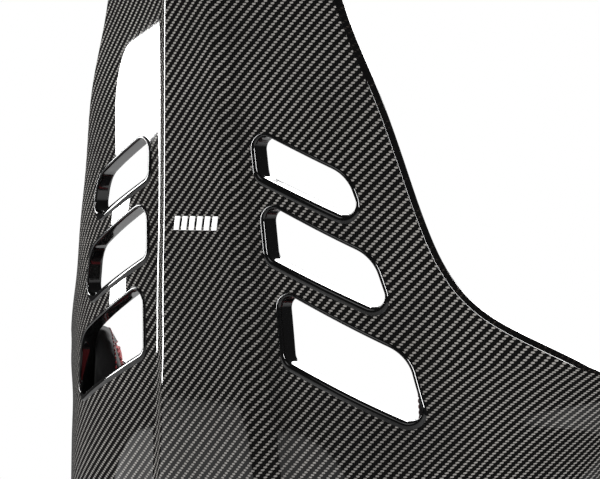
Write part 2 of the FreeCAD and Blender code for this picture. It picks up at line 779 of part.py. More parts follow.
def make_side_fasteners():
    """Inserts bonded in the shell, and the bolts and washers that hold the brackets to them."""
    seat = dim("mount_plane") + dim("mount_gap") + dim("plate_thick")
    shank = dim("shell_wall") + dim("mount_gap") + dim("plate_thick") + dim("washer_thick")
    for name, side in SIDES:
        bolts, washers, inserts = [], [], []
        for end, y in mount_places():
            bolt = cap_bolt(f"side_bolt_{name}_{end}", shank, dim("bolt_radius"), dim("head_radius"),
                            dim("head_high"))
            ring = washer(f"side_washer_{name}_{end}")
            bush = insert(f"shell_insert_{name}_{end}")
            places = ((bolt, seat + dim("washer_thick")), (ring, seat),
                      (bush, dim("mount_plane") - dim("shell_wall")))
            for feature, x in places:
                turned(feature, Y_AXIS, 90.0 * side)
                place(feature, x * side, y, dim("side_low"))
            bolts.append(bolt)
            washers.append(ring)
            inserts.append(bush)
        group(f"side_bolts_{name}", bolts)
        group(f"side_washers_{name}", washers)
        group(f"shell_inserts_{name}", inserts)


def make_rail_bolts():
    """Bolts through each bracket's foot into its runner."""
    shank = dim("plate_thick") + dim("rail_bolt_deep")
    for name, side in SIDES:
        bolts = []
        for end, sign in (("front", -1), ("back", 1)):
            bolt = cap_bolt(f"rail_bolt_{name}_{end}", shank, dim("rail_bolt_radius"),
                            dim("head_radius") - dim("rail_wall") * 0.5, dim("head_high"))
            place(bolt, dim("rail_spacing") * 0.5 * side, dim("rail_bolt_place") * sign,
                  dim("runner_high") + dim("plate_thick"))
            bolts.append(bolt)
        group(f"rail_bolts_{name}", bolts)


# ---------------------------------------------------------------- slide rails

def make_rails():
    """Lipped channels on the floor, notched along their inboard lip, and the stops at their ends."""
    half, high, wall = dim("rail_wide") * 0.5, dim("rail_high"), dim("rail_wall")
    mouth = half - dim("rail_lip")
    right_half = [(half, ZERO), (half, high), (mouth, high), (mouth, high - wall),
                  (half - wall, high - wall), (half - wall, wall)]
    profile = right_half + [(-x, z) for x, z in reversed(right_half)]
    for name, side in SIDES:
        body = new_body(f"floor_rail_{name}")
        pad(body, polygon(body, f"rail_section_{name}", "XZ_Plane", profile), dim("rail_long"))
        reach = dim("floor_spacing") * 0.5
        cut_through(body, circles(body, f"floor_holes_{name}", "XY_Plane", [(ZERO, -reach), (ZERO, reach)],
                                  dim("bolt_hole")))
        add_notches(body, name, side, half, high)
        place(body, dim("rail_spacing") * 0.5 * side, ZERO, ZERO)
        keep(body, f"floor_rail_{name}")
        make_rail_stops(name, side)


def add_notches(body, name, side, half, high):
    """A row of latch notches cut down into the rail's inboard lip."""
    sketch = attached_sketch(body, f"notch_{name}", "XY_Plane")
    before = dim("notch_pitch") * (-(size("notch_count") - 1) / 2.0)
    first = before - dim("pivot_place") - dim("notch_pitch") * 2
    inner = (half - dim("notch_wide")) * -side
    outer = (half + dim("tooth_clear")) * -side
    long = dim("notch_long") * 0.5
    corners = [(inner, first - long), (outer, first - long), (outer, first + long), (inner, first + long)]
    for i, (x, y) in enumerate(corners):
        after_x, after_y = corners[(i + 1) % 4]
        sketch.addGeometry(Part.LineSegment(FreeCAD.Vector(x.value, y.value, 0),
                                            FreeCAD.Vector(after_x.value, after_y.value, 0)), False)
    for i in range(4):
        sketch.addConstraint(Sketcher.Constraint("Coincident", i, 2, (i + 1) % 4, 1))
    for i, (x, y) in enumerate(corners):
        hold(sketch, i, 1, x, y)
    sketch.AttachmentOffset = FreeCAD.Placement(FreeCAD.Vector(0, 0, high.value), FreeCAD.Rotation())
    sketch.setExpression("AttachmentOffset.Base.z", high.text)
    doc.recompute()
    before = body.Shape.Volume
    notch = body.newObject("PartDesign::Pocket", f"notch_{name}_cut")
    notch.Profile = sketch
    notch.Type = "Length"
    bind(notch, Length=dim("notch_deep"))
    row = body.newObject("PartDesign::LinearPattern", f"notch_row_{name}")
    row.Originals = [notch]
    row.Direction = ([f for f in body.Origin.OriginFeatures if f.Role == "Y_Axis"][0], [""])
    bind(row, Length=dim("notch_pitch") * (size("notch_count") - 1))
    row.Occurrences = int(size("notch_count"))
    row.setExpression("Occurrences", "<<dimensions>>.notch_count")
    body.Tip = row
    doc.recompute()
    if body.Shape.Volume > before - 0.1:
        raise RuntimeError(f"{row.Name} removes nothing")


def make_rail_stops(name, side):
    """Low stops riveted in each end of a rail, which the glides meet at the ends of the travel."""
    stops = []
    for end, sign in (("front", -1), ("back", 1)):
        stop = doc.addObject("Part::Box", f"rail_stop_{name}_{end}")
        wide = dim("rail_wide") - dim("rail_wall") * 4
        bind(stop, Length=wide, Width=dim("stop_long"), Height=dim("stop_high"))
        y = dim("rail_long") * 0.5 - dim("stop_long")
        if sign < 0:
            y = -dim("rail_long") * 0.5
        place(stop, dim("rail_spacing") * 0.5 * side - wide * 0.5, y, dim("rail_wall"))
        stops.append(stop)
    group(f"rail_stops_{name}", stops)


def make_runners():
    """I-shaped runners that slide inside the rails, drilled for the bracket bolts."""
    low, high = dim("runner_lift"), dim("runner_high")
    foot, neck, top = dim("runner_foot_wide") * 0.5, dim("runner_neck") * 0.5, dim("runner_top_wide") * 0.5
    right_half = [(foot, low), (foot, low + dim("runner_foot")), (neck, low + dim("runner_foot")),
                  (neck, high - dim("runner_top")), (top, high - dim("runner_top")), (top, high)]
    profile = right_half + [(-x, z) for x, z in reversed(right_half)]
    for name, side in SIDES:
        body = new_body(f"runner_{name}")
        pad(body, polygon(body, f"runner_section_{name}", "XZ_Plane", profile), dim("runner_long"))
        sketch = circles(body, f"runner_holes_{name}", "XY_Plane",
                         [(ZERO, -dim("rail_bolt_place")), (ZERO, dim("rail_bolt_place"))],
                         dim("rail_bolt_radius"))
        sketch.setExpression("AttachmentOffset.Base.z", high.text)
        doc.recompute()
        before = body.Shape.Volume
        hole = body.newObject("PartDesign::Pocket", f"runner_holes_{name}_cut")
        hole.Profile = sketch
        bind(hole, Length=dim("rail_bolt_deep"))
        doc.recompute()
        if body.Shape.Volume > before - 0.1:
            raise RuntimeError(f"{hole.Name} removes nothing")
        cut_through(body, circles(body, f"runner_pin_hole_{name}", "YZ_Plane",
                                  [(-dim("pivot_place"), dim("pivot_high"))], dim("pin_radius")))
        place(body, dim("rail_spacing") * 0.5 * side, ZERO, ZERO)
        keep(body, f"runner_{name}")


def make_glides():
    """Nylon glides clipped on each runner's foot, two to a side."""
    gap, wall = dim("glide_gap"), dim("rail_wall")
    wide = dim("rail_wide") * 0.5 - wall - gap
    low, high = wall + gap, dim("rail_high") - wall - gap
    foot, neck = dim("runner_foot_wide") * 0.5, dim("runner_neck") * 0.5
    foot_low = dim("runner_lift")
    foot_high = foot_low + dim("runner_foot")
    right_half = [(wide, low), (wide, high), (neck, high), (neck, foot_high), (foot, foot_high),
                  (foot, foot_low)]
    profile = right_half + [(-x, z) for x, z in reversed(right_half)]
    for name, side in SIDES:
        pair = []
        for end, sign in (("front", -1), ("back", 1)):
            body = new_body(f"glide_{name}_{end}")
            pad(body, polygon(body, f"glide_section_{name}_{end}", "XZ_Plane", profile), dim("glide_long"))
            place(body, dim("rail_spacing") * 0.5 * side, dim("glide_place") * sign, ZERO)
            pair.append(body)
        group(f"glides_{name}", pair)


# ---------------------------------------------------------------- release bar

def lever_inboard():
    """Distance from the seat's middle to a latch lever's inboard face."""
    return dim("rail_spacing") * 0.5 - dim("rail_wide") * 0.5 - dim("lever_gap") - dim("lever_thick")


def make_levers():
    """Latch levers hung on pins beside the rails, each with teeth that reach over the notched lip."""
    thick, half = dim("lever_thick"), dim("lever_half")
    pivot, high = -dim("pivot_place"), dim("pivot_high")
    for name, side in SIDES:
        plate = doc.addObject("Part::Box", f"lever_plate_{name}")
        bind(plate, Length=thick, Width=dim("bar_weld") - dim("pivot_place") + half, Height=half * 2)
        x = lever_inboard() if side > 0 else -(lever_inboard() + thick)
        place(plate, x, -dim("bar_weld"), high - half)
        pieces = [plate]
        for i in range(int(size("tooth_count"))):
            tooth = doc.addObject("Part::Box", f"lever_tooth_{name}_{i + 1}")
            reach = thick + dim("lever_gap") + dim("tooth_reach")
            bind(tooth, Length=reach, Width=dim("tooth_long"), Height=dim("tooth_high"))
            x = lever_inboard() if side > 0 else -(lever_inboard() + reach)
            y = pivot - dim("notch_pitch") * (i + 1.5) - dim("tooth_long") * 0.5
            place(tooth, x, y, dim("rail_high") + dim("tooth_clear"))
            pieces.append(tooth)
        hole = cylinder(f"lever_hole_{name}", dim("pin_radius") + dim("pin_gap"), thick * 3)
        turned(hole, Y_AXIS, 90.0 * side)
        place(hole, (lever_inboard() - thick) * side, pivot, high)
        keep(cut_from(f"latch_lever_{name}", joined(f"lever_blank_{name}", pieces), hole),
             f"latch_lever_{name}")


def make_pins_and_springs():
    """Headed pivot pins fixed in the runners, each with a coiled return spring round it."""
    spring_room = dim("spring_long") + dim("spring_slack")
    for name, side in SIDES:
        inner = lever_inboard() - spring_room
        shank = dim("rail_spacing") * 0.5 + dim("runner_neck") * 0.5 - inner
        pin = cylinder(f"pin_shank_{name}", dim("pin_radius"), shank)
        head = cylinder(f"pin_head_{name}", dim("pin_head_radius"), dim("pin_head_thick"))
        for feature, x in ((pin, inner), (head, inner - dim("pin_head_thick"))):
            turned(feature, Y_AXIS, 90.0 * side)
            place(feature, x * side, -dim("pivot_place"), dim("pivot_high"))
        keep(joined(f"pivot_pin_{name}", [pin, head]), f"pivot_pin_{name}")
        helix = Part.makeHelix(size("spring_pitch"), size("spring_long") - size("spring_wire") - 0.3,
                               size("spring_radius"))
        radius = size("spring_radius")
        circle = Part.Wire(Part.makeCircle(size("spring_wire") / 2.0, FreeCAD.Vector(radius, 0, 0), Y_AXIS))
        coil = Part.Wire(helix.Edges).makePipeShell([circle], True, True)
        coil.rotate(FreeCAD.Vector(), Y_AXIS, 90.0 * side)
        start = inner.value + size("spring_wire") / 2.0 + 0.2
        coil.translate(FreeCAD.Vector(start * side, -size("pivot_place"), size("pivot_high")))
        shaped(f"return_spring_{name}", coil)


def make_release_bar():
    """The bent tube under the front of the seat that joins the two levers, and its rubber grip."""
    radius, bend = dim("bar_radius"), dim("bar_bend")
    reach = lever_inboard() - radius
    pieces = []
    for name, side in SIDES:
        reach_back = dim("bar_front") - bend - dim("bar_weld") + dim("lever_half") * 4
        arm = cylinder(f"bar_arm_{name}", radius, reach_back)
        turned(arm, X_AXIS, 90.0)
        place(arm, reach * side, -dim("bar_weld") + dim("lever_half") * 4, dim("pivot_high"))
        corner = doc.addObject("Part::Torus", f"bar_corner_{name}")
        bind(corner, Radius1=bend, Radius2=radius)
        corner.Angle3 = 90.0
        turned(corner, Z_AXIS, -90.0 if side > 0 else 180.0)
        place(corner, (reach - bend) * side, -(dim("bar_front") - bend), dim("pivot_high"))
        pieces += [arm, corner]
    cross = cylinder("bar_cross", radius, (reach - bend) * 2)
    turned(cross, Y_AXIS, 90.0)
    place(cross, -(reach - bend), -dim("bar_front"), dim("pivot_high"))
    pieces.append(cross)
    keep(joined("release_bar", pieces), "release_bar")
    outer = cylinder("grip_outer", radius + dim("grip_wall"), dim("grip_long"))
    inner = cylinder("grip_inner", radius, dim("grip_long"))
    grip = cut_from("bar_grip", outer, inner)
    turned(grip, Y_AXIS, 90.0)
    place(grip, -dim("grip_long") * 0.5, -dim("bar_front"), dim("pivot_high"))
    keep(grip, "bar_grip")


# ---------------------------------------------------------------- build, check and write

def check_document():
    """Stop on any failed feature and on any sub-part without a sound shape."""
    doc.recompute()
    for feature in doc.Objects:
        if "Invalid" in feature.State or "Error" in feature.State:
            raise RuntimeError(f"{feature.Label} failed: {feature.State}")
    for node in nodes:
        if node.Shape.isNull() or not node.Shape.isValid() or not node.Shape.Solids:
            raise RuntimeError(f"{node.Label} has no sound shape")


def write_parts():
    os.makedirs("parts", exist_ok=True)
    for node in nodes:
        node.Shape.exportStep(f"parts/{node.Label}.step")


def main():
    make_shell_and_trims()
    make_badge()
    make_pads()
    make_hook_strips()
    make_brackets()
    make_side_fasteners()
    make_rails()
    make_runners()
    make_glides()
    make_rail_bolts()
    make_levers()
    make_pins_and_springs()
    make_release_bar()
    check_document()
    write_parts()
    for node in nodes:
        print(f"{node.Label}: {len(node.Shape.Solids)} solids, {node.Shape.Volume / 1000.0:.2f} cm3")


main()
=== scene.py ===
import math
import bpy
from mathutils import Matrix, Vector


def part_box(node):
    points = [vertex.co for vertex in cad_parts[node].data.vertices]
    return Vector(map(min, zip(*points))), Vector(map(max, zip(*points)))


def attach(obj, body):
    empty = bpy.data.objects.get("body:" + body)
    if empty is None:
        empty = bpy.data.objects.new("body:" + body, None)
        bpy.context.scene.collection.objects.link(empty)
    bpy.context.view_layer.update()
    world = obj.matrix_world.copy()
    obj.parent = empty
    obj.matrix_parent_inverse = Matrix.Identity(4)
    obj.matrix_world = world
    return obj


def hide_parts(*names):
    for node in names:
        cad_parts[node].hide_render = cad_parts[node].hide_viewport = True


bl_info = {
    "name": "Bucket Racing Seat",
    "version": (1, 0, 0),
    "blender": (4, 5, 0),
    "location": "3D View > Sidebar > Racing Seat",
    "description": "Builds the looks of a fixed-back carbon bucket seat round its packed CAD frame",
    "category": "Object",
}

import bmesh
import bpy
import numpy as np
from bpy.props import FloatProperty, FloatVectorProperty, IntProperty, PointerProperty
from mathutils import Matrix, Vector
from mathutils.bvhtree import BVHTree

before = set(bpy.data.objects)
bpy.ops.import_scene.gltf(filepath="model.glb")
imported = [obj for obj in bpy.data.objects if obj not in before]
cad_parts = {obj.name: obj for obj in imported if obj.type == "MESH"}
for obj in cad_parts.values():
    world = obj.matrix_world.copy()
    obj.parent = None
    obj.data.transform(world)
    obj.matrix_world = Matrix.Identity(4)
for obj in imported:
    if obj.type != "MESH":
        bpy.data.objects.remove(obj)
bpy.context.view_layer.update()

# ---------------------------------------------------------------- the shell's form, in millimetres
# The shell is drawn through sections ("stations") along its centre line, from the top of the head to
# the front lip. "run" counts down that line and "girth" counts out from it over the surface.

MM = 0.001
# At each station: its place, the spine's half width and height, the panel's slopes near the spine and far
# from it, where it bends and turns to the wall, and the girth from the spine's foot to the rim.
STATION_NAMES = (
    "run", "y", "z", "plateau", "rise", "near", "far", "bend", "bend_half", "wall", "turn", "turn_half",
    "rim",
)
STATIONS = (
    (0, 299, 995, 16, 0.5, 14, 42, 110, 80, 80, 210, 60, 96),
    (14, 300.5, 981, 16, 0.8, 14, 42, 110, 80, 80, 210, 60, 124),
    (40, 303, 955, 16, 1.5, 15, 42, 110, 80, 80, 210, 60, 142),
    (90, 304, 905, 16, 3.5, 17, 42, 112, 80, 80, 212, 60, 150),
    (150, 301.5, 845, 16, 5, 19, 43, 114, 76, 80, 218, 60, 143),
    (205, 296, 790, 16, 6, 20, 44, 116, 74, 80, 225, 60, 112),
    (245, 291.5, 750, 19, 6, 18, 44, 118, 72, 80, 235, 60, 99),
    (287, 287, 708, 23, 6, 16, 44, 120, 70, 80, 245, 60, 101),
    (350, 280.6, 645, 28, 6, 12, 44, 116, 74, 82, 262, 60, 122),
    (410, 275, 585, 32, 6.4, 10, 43, 110, 84, 86, 278, 60, 139),
    (465, 270, 530, 36, 7.3, 8, 42, 108, 90, 88, 288, 60, 153),
    (500, 266.9, 495, 39, 8, 8, 42, 108, 90, 90, 292, 60, 167),
    (530, 264.2, 465, 41, 9, 8, 41, 108, 90, 90, 292, 60, 197),
    (565, 261.3, 430, 43, 10, 7, 42, 107, 88, 90, 288, 60, 266),
    (595, 258.8, 400, 46, 10.6, 7, 42, 106, 86, 90, 282, 60, 310),
    (635, 255.6, 360, 49, 11.2, 7, 43, 105, 84, 90, 272, 60, 338),
    (685, 251.4, 310, 54, 12, 7, 44, 104, 80, 90, 256, 58, 356),
    (745, 246.4, 250, 58, 11, 7, 46, 106, 72, 90, 234, 54, 366),
    (805, 240, 190, 60, 8, 6, 48, 114, 56, 90, 198, 46, 368),
    (866, 222, 132, 61, 4, 4, 48, 121, 38, 90, 166, 36, 358),
    (940, 167, 82, 62, 1.5, 3, 48, 122, 34, 90, 162, 34, 354),
    (1022, 92, 62, 62, 1.5, 3, 48, 122, 34, 90, 162, 34, 338),
    (1114, 0, 58, 62, 1.5, 3, 48, 122, 34, 90, 162, 34, 318),
    (1224, -110, 64, 62, 1.5, 3, 48, 122, 34, 90, 162, 34, 308),
    (1315, -200, 79, 62, 1.5, 3, 48, 122, 34, 90, 162, 34, 304),
    (1366, -250, 89, 62, 1.5, 3, 48, 122, 34, 90, 162, 34, 286),
    (1400, -283, 95, 62, 1.5, 3, 48, 122, 34, 90, 162, 34, 256),
    (1422, -305, 98, 62, 1.5, 3, 48, 122, 34, 90, 162, 34, 205),
)
LAST_RUN = float(STATIONS[-1][0])
GIRTH_LIMIT = 480.0
FLANK_SLOPE = math.radians(36.0)
FLANK_BLEND = 3.0
WALL = 12.0
PIVOT_Y, PIVOT_Z = -110.0, 430.0
CROWN, CROWN_REACH = 12.0, 110.0


def curve_bends(knots, values):
    """Second derivatives of the natural cubic spline through the values."""
    count = len(knots)
    gaps = np.diff(knots)
    slopes = np.diff(values) / gaps
    rows = np.eye(count)
    bends = np.zeros(count)
    for i in range(1, count - 1):
        rows[i, i - 1:i + 2] = gaps[i - 1], 2.0 * (gaps[i - 1] + gaps[i]), gaps[i]
        bends[i] = 6.0 * (slopes[i] - slopes[i - 1])
    return np.linalg.solve(rows, bends)


KNOTS = np.array([row[0] for row in STATIONS], float)
COLUMNS = {name: np.array([row[i] for row in STATIONS], float) for i, name in enumerate(STATION_NAMES)}
BENDS = {name: curve_bends(KNOTS, COLUMNS[name]) for name in STATION_NAMES[1:]}


def at_run(name, run):
    """One station quantity at any runs along the centre line."""
    run = np.clip(run, 0.0, LAST_RUN)
    i = np.clip(np.searchsorted(KNOTS, run) - 1, 0, len(KNOTS) - 2)
    span = KNOTS[i + 1] - KNOTS[i]
    after = (run - KNOTS[i]) / span
    before = 1.0 - after
    bow = (before ** 3 - before) * BENDS[name][i] + (after ** 3 - after) * BENDS[name][i + 1]
    return before * COLUMNS[name][i] + after * COLUMNS[name][i + 1] + bow * span * span / 6.0


def ease(position):
    """Smooth step from 0 at -1 to 1 at +1."""
    share = np.clip((position + 1.0) / 2.0, 0.0, 1.0)
    return share * share * (3.0 - 2.0 * share)


def foot_girth(run):
    """Girth at which the raised spine's flank meets the panel."""
    return at_run("plateau", run) + at_run("rise", run) / math.sin(FLANK_SLOPE)


def rim_girth(run):
    return foot_girth(run) + at_run("rim", run)


class SectionTable:
    """Half widths and depths of the shell's sections, on a fine grid of runs and girths."""

    run_step = 2.0
    girth_step = 0.5

    def __init__(self):
        self.runs = np.arange(0.0, LAST_RUN + self.run_step, self.run_step)
        girths = np.arange(0.0, GIRTH_LIMIT, self.girth_step)
        middle = (girths + self.girth_step / 2.0)[None, :]
        here = {name: at_run(name, self.runs)[:, None] for name in STATION_NAMES[1:]}
        foot = foot_girth(self.runs)[:, None]
        beyond = middle - foot
        ridge = ease((middle - here["plateau"]) / FLANK_BLEND) - ease(beyond / FLANK_BLEND)
        bent = ease((beyond - here["bend"]) / here["bend_half"])
        panel = here["near"] + (here["far"] - here["near"]) * bent
        panel += (here["wall"] - here["far"]) * ease((beyond - here["turn"]) / here["turn_half"])
        angle = FLANK_SLOPE * ridge + np.radians(panel) * ease(beyond / FLANK_BLEND)
        start = np.zeros((len(self.runs), 1))
        self.width = np.hstack([start, np.cumsum(np.cos(angle), axis=1)])
        self.depth = np.hstack([start, np.cumsum(np.sin(angle), axis=1)])
        self.width *= self.girth_step
        self.depth *= self.girth_step
        foot_width = self.read(self.width, self.runs, foot[:, 0])[:, None]
        foot_depth = self.read(self.depth, self.runs, foot[:, 0])[:, None]
        slope = np.tan(np.radians(here["near"]))
        bowed = foot_depth - slope * (foot_width ** 2 - self.width ** 2) / (2.0 * foot_width)
        inside = np.arange(self.width.shape[1])[None, :] * self.girth_step < foot
        self.smooth = np.where(inside, bowed, self.depth)

    def read(self, table, run, girth):
        """The table's value at any runs and girths, between its steps."""
        across = np.clip(girth / self.girth_step, 0.0, table.shape[1] - 1.001)
        down = np.clip(run / self.run_step, 0.0, table.shape[0] - 1.001)
        i, j = down.astype(int), across.astype(int)
        di, dj = down - i, across - j
        upper = table[i, j] * (1.0 - dj) + table[i, j + 1] * dj
        lower = table[i + 1, j] * (1.0 - dj) + table[i + 1, j + 1] * dj
        return upper * (1.0 - di) + lower * di


SECTIONS = SectionTable()


def crowned(run, girth):
    """The run that a girth line reaches once the head's top edge is crowned."""
    fade = np.clip(1.0 - run / CROWN_REACH, 0.0, None)
    return np.clip(run + CROWN * (girth / 100.0) ** 2 * fade * fade, 0.0, LAST_RUN)


def depth_direction(y, z):
    """Unit vector, in the upright plane along the seat, in which a section's depth is measured."""
    reach = np.maximum(np.hypot(PIVOT_Y - y, PIVOT_Z - z), 1e-9)
    ahead, up = (PIVOT_Y - y) / reach, (PIVOT_Z - z) / reach
    level, upright = z >= PIVOT_Z, (y <= PIVOT_Y) & (z < PIVOT_Z)
    forward = np.where(level, -1.0, np.where(upright, 0.0, ahead))
    return forward, np.where(level, 0.0, np.where(upright, 1.0, up))


def smooth_point(run, girth):
    """Points of the shell's rear face as if it had no raised spine."""
    place = crowned(run, girth)
    y, z = at_run("y", place), at_run("z", place)
    ahead, up = depth_direction(y, z)
    reach = np.abs(girth)
    depth = SECTIONS.read(SECTIONS.smooth, place, reach)
    width = SECTIONS.read(SECTIONS.width, place, reach)
    return np.stack([np.sign(girth) * width, y + depth * ahead, z + depth * up], axis=-1)


def inward(run, girth):
    """Unit normals of the smooth face, towards the sitter."""
    step = 2.0
    run = np.clip(run, step, LAST_RUN - step)
    down = smooth_point(run + step, girth) - smooth_point(run - step, girth)
    across = smooth_point(run, girth + step) - smooth_point(run, girth - step)
    normal = np.cross(down, across)
    return normal / np.linalg.norm(normal, axis=-1, keepdims=True)


def shell_point(run, girth, inset):
    """Points of the shell: inset 0 is the rear face and the wall lies between 0 and WALL."""
    run, girth, inset = np.broadcast_arrays(*(np.asarray(value, float) for value in (run, girth, inset)))
    place = crowned(run, girth)
    ahead, up = depth_direction(at_run("y", place), at_run("z", place))
    reach = np.abs(girth)
    ridge = SECTIONS.read(SECTIONS.smooth, place, reach) - SECTIONS.read(SECTIONS.depth, place, reach)
    ridge = ridge * np.clip(1.0 - inset / WALL, 0.0, 1.0)
    back = np.stack([np.zeros_like(ridge), ahead * ridge, up * ridge], axis=-1)
    return smooth_point(run, girth) - back + inward(run, girth) * inset[..., None]


# ---------------------------------------------------------------- mesh helpers

def new_piece(name, points, faces, materials, marks=None, sharp=35.0):
    """A mesh object from points in millimetres. marks gives each face's material slot."""
    mesh = bpy.data.meshes.new(name)
    mesh.from_pydata((np.asarray(points) * MM).tolist(), [], faces)
    for material in materials:
        mesh.materials.append(material)
    if marks is not None:
        mesh.polygons.foreach_set("material_index", np.asarray(marks, np.int32))
    finish_mesh(mesh, sharp)
    piece = bpy.data.objects.new(name, mesh)
    bpy.context.scene.collection.objects.link(piece)
    return piece


def finish_mesh(mesh, sharp=35.0):
    """Outward normals, smooth shading, and creases where faces meet at more than the sharp angle."""
    tool = bmesh.new()
    tool.from_mesh(mesh)
    bmesh.ops.recalc_face_normals(tool, faces=tool.faces)
    tool.to_mesh(mesh)
    tool.free()
    mesh.polygons.foreach_set("use_smooth", [True] * len(mesh.polygons))
    mesh.set_sharp_from_angle(angle=math.radians(sharp))
    mesh.update()


def grid_faces(rows, columns, base=0, wrap=False):
    """Quads of a grid of points laid out row by row; wrap joins its last column to its first."""
    faces = []
    for i in range(rows - 1):
        for j in range(columns if wrap else columns - 1):
            right = (j + 1) % columns
            low, high = base + i * columns, base + (i + 1) * columns
            faces.append((low + j, low + right, high + right, high + j))
    return faces


def slab_faces(rows, columns, base=0):
    """Faces of a closed slab: its front grid, the rear grid that follows, and the wall that joins them."""
    count = rows * columns
    border = list(range(columns)) + [i * columns + columns - 1 for i in range(1, rows)]
    border += [(rows - 1) * columns + j for j in range(columns - 2, -1, -1)]
    border += [i * columns for i in range(rows - 2, 0, -1)]
    faces = grid_faces(rows, columns, base)
    faces += [tuple(reversed(face)) for face in grid_faces(rows, columns, base + count)]
    for a, b in zip(border, border[1:] + border[:1]):
        faces.append((base + a, base + b, base + b + count, base + a + count))
    return faces


def bake_modifiers(piece):
    """Apply a piece's modifiers to its mesh."""
    shown = piece.evaluated_get(bpy.context.evaluated_depsgraph_get())
    mesh = bpy.data.meshes.new_from_object(shown)
    piece.modifiers.clear()
    piece.data = mesh
    return mesh


def unit(vector):
    return vector / np.linalg.norm(vector, axis=-1, keepdims=True)


def rounded(corners, radii, step=3.0):
    """Points and outward normals round a flat convex outline with rounded corners."""
    corners = np.array(corners, float)
    count = len(corners)
    arcs = []
    for i in range(count):
        corner = corners[i]
        back, ahead = unit(corners[i - 1] - corner), unit(corners[(i + 1) % count] - corner)
        half = math.acos(float(back @ ahead)) / 2.0
        centre = corner + unit(back + ahead) * radii[i] / math.sin(half)
        first = unit(corner + back * radii[i] / math.tan(half) - centre)
        last = unit(corner + ahead * radii[i] / math.tan(half) - centre)
        turn = math.pi - 2.0 * half
        pieces = max(4, int(turn * radii[i] / 1.5))
        share = np.linspace(0.0, 1.0, pieces + 1)[:, None]
        normals = (np.sin((1.0 - share) * turn) * first + np.sin(share * turn) * last) / math.sin(turn)
        arcs.append((centre + normals * radii[i], normals))
    points, outward = [], []
    for i in range(count):
        arc_points, arc_normals = arcs[i]
        start, end = arc_points[-1], arcs[(i + 1) % count][0][0]
        pieces = max(2, int(np.linalg.norm(end - start) / step))
        share = np.linspace(0.0, 1.0, pieces + 1)[1:-1, None]
        points += [arc_points, start + (end - start) * share]
        outward += [arc_normals, np.repeat(arc_normals[-1:], pieces - 1, axis=0)]
    return np.vstack(points), np.vstack(outward)


def settle(targets, axes, inset, run, girth):
    """Runs and girths at which the shell, at an inset, passes through flat targets seen along one axis."""
    run, girth = np.array(run, float), np.array(girth, float)
    nudge, longest = 0.5, 40.0
    for _ in range(14):
        miss = shell_point(run, girth, inset)[..., axes] - targets
        down = (shell_point(run + nudge, girth, inset)[..., axes] - targets - miss) / nudge
        out = (shell_point(run, girth + nudge, inset)[..., axes] - targets - miss) / nudge
        area = down[..., 0] * out[..., 1] - down[..., 1] * out[..., 0]
        area = np.where(np.abs(area) < 1e-6, 1e-6, area)
        by_run = (miss[..., 0] * out[..., 1] - miss[..., 1] * out[..., 0]) / area
        by_girth = (down[..., 0] * miss[..., 1] - down[..., 1] * miss[..., 0]) / area
        run = run - np.clip(by_run, -longest, longest)
        girth = girth - np.clip(by_girth, -longest, longest)
    return run, girth


# ---------------------------------------------------------------- openings, in millimetres

VENT_SLOPE, VENT_TOP_SLOPE, VENT_CORNER, VENT_LEAF_CORNER, VENT_TIP = 0.435, 0.485, 9.0, 30.0, 13.5
VENTS = {1: (59.5, 609.0, 573.5, 146.5), 2: (66.0, 553.0, 509.5, 165.0), 3: (77.0, 485.0, 429.5, 188.5)}
WINDOW = (31.0, 102.0, 739.0, 798.0)
LAP_SLOT = (-8.0, 88.0, 170.0, 206.0)
CROTCH_SLOT = (-52.0, 52.0, -162.0, -126.0)
WINDOW_CORNER, LAP_CORNER, CROTCH_CORNER = 16.0, 15.0, 14.0
SIDES = (("left", 1.0), ("right", -1.0))
TRIM_WALL = 3.0


def box_corners(low_across, high_across, low_up, high_up):
    return [(low_across, low_up), (high_across, low_up), (high_across, high_up), (low_across, high_up)]


def vent_corners(number, side):
    """The leaf-shaped vent's four corners: the inner end is upright, both long edges fall outwards."""
    inner, top, bottom, reach = VENTS[number]
    tip = reach - VENT_TIP
    corners = [(inner - 3.0, top), (inner, bottom),
               (reach, bottom - VENT_SLOPE * (reach - inner)), (tip, top - VENT_TOP_SLOPE * (tip - inner))]
    return [(side * x, z) for x, z in corners]


def openings():
    """Every hole: its lip's name, its outline, the axes it is drawn on, and where on the shell it is."""
    found = []
    lap = rounded(box_corners(*LAP_SLOT), (LAP_CORNER,) * 4)
    crotch = rounded(box_corners(*CROTCH_SLOT), (CROTCH_CORNER,) * 4)
    for name, side in SIDES:
        for number in VENTS:
            outline = rounded(vent_corners(number, side), (VENT_CORNER,) * 3 + (VENT_LEAF_CORNER,))
            found.append((f"vent_trim_{name}_{number}", outline, (0, 2), "back", side))
        low, high, bottom, top = WINDOW
        window = rounded(box_corners(side * low, side * high, bottom, top), (WINDOW_CORNER,) * 4)
        found.append((f"shoulder_belt_trim_{name}", window, (0, 2), "back", side))
        found.append((f"lap_belt_trim_{name}", lap, (1, 2), "wall", side))
    found.append(("crotch_belt_trim", crotch, (0, 1), "pan", 0.0))
    return found


def first_guess(points, place, side):
    """A rough run and girth for flat points on the back, the side wall or the pan."""
    if place == "back":
        return 1000.0 - points[:, 1], points[:, 0] * 1.05
    if place == "wall":
        return np.full(len(points), 1050.0), np.full(len(points), side * 290.0)
    return 1114.0 - points[:, 1], points[:, 0]


# ---------------------------------------------------------------- the shell

EDGE_CREASE = math.radians(36.0)
EDGE_CREASE_RADIUS = 1.5
EDGE_FLAT = 3.4


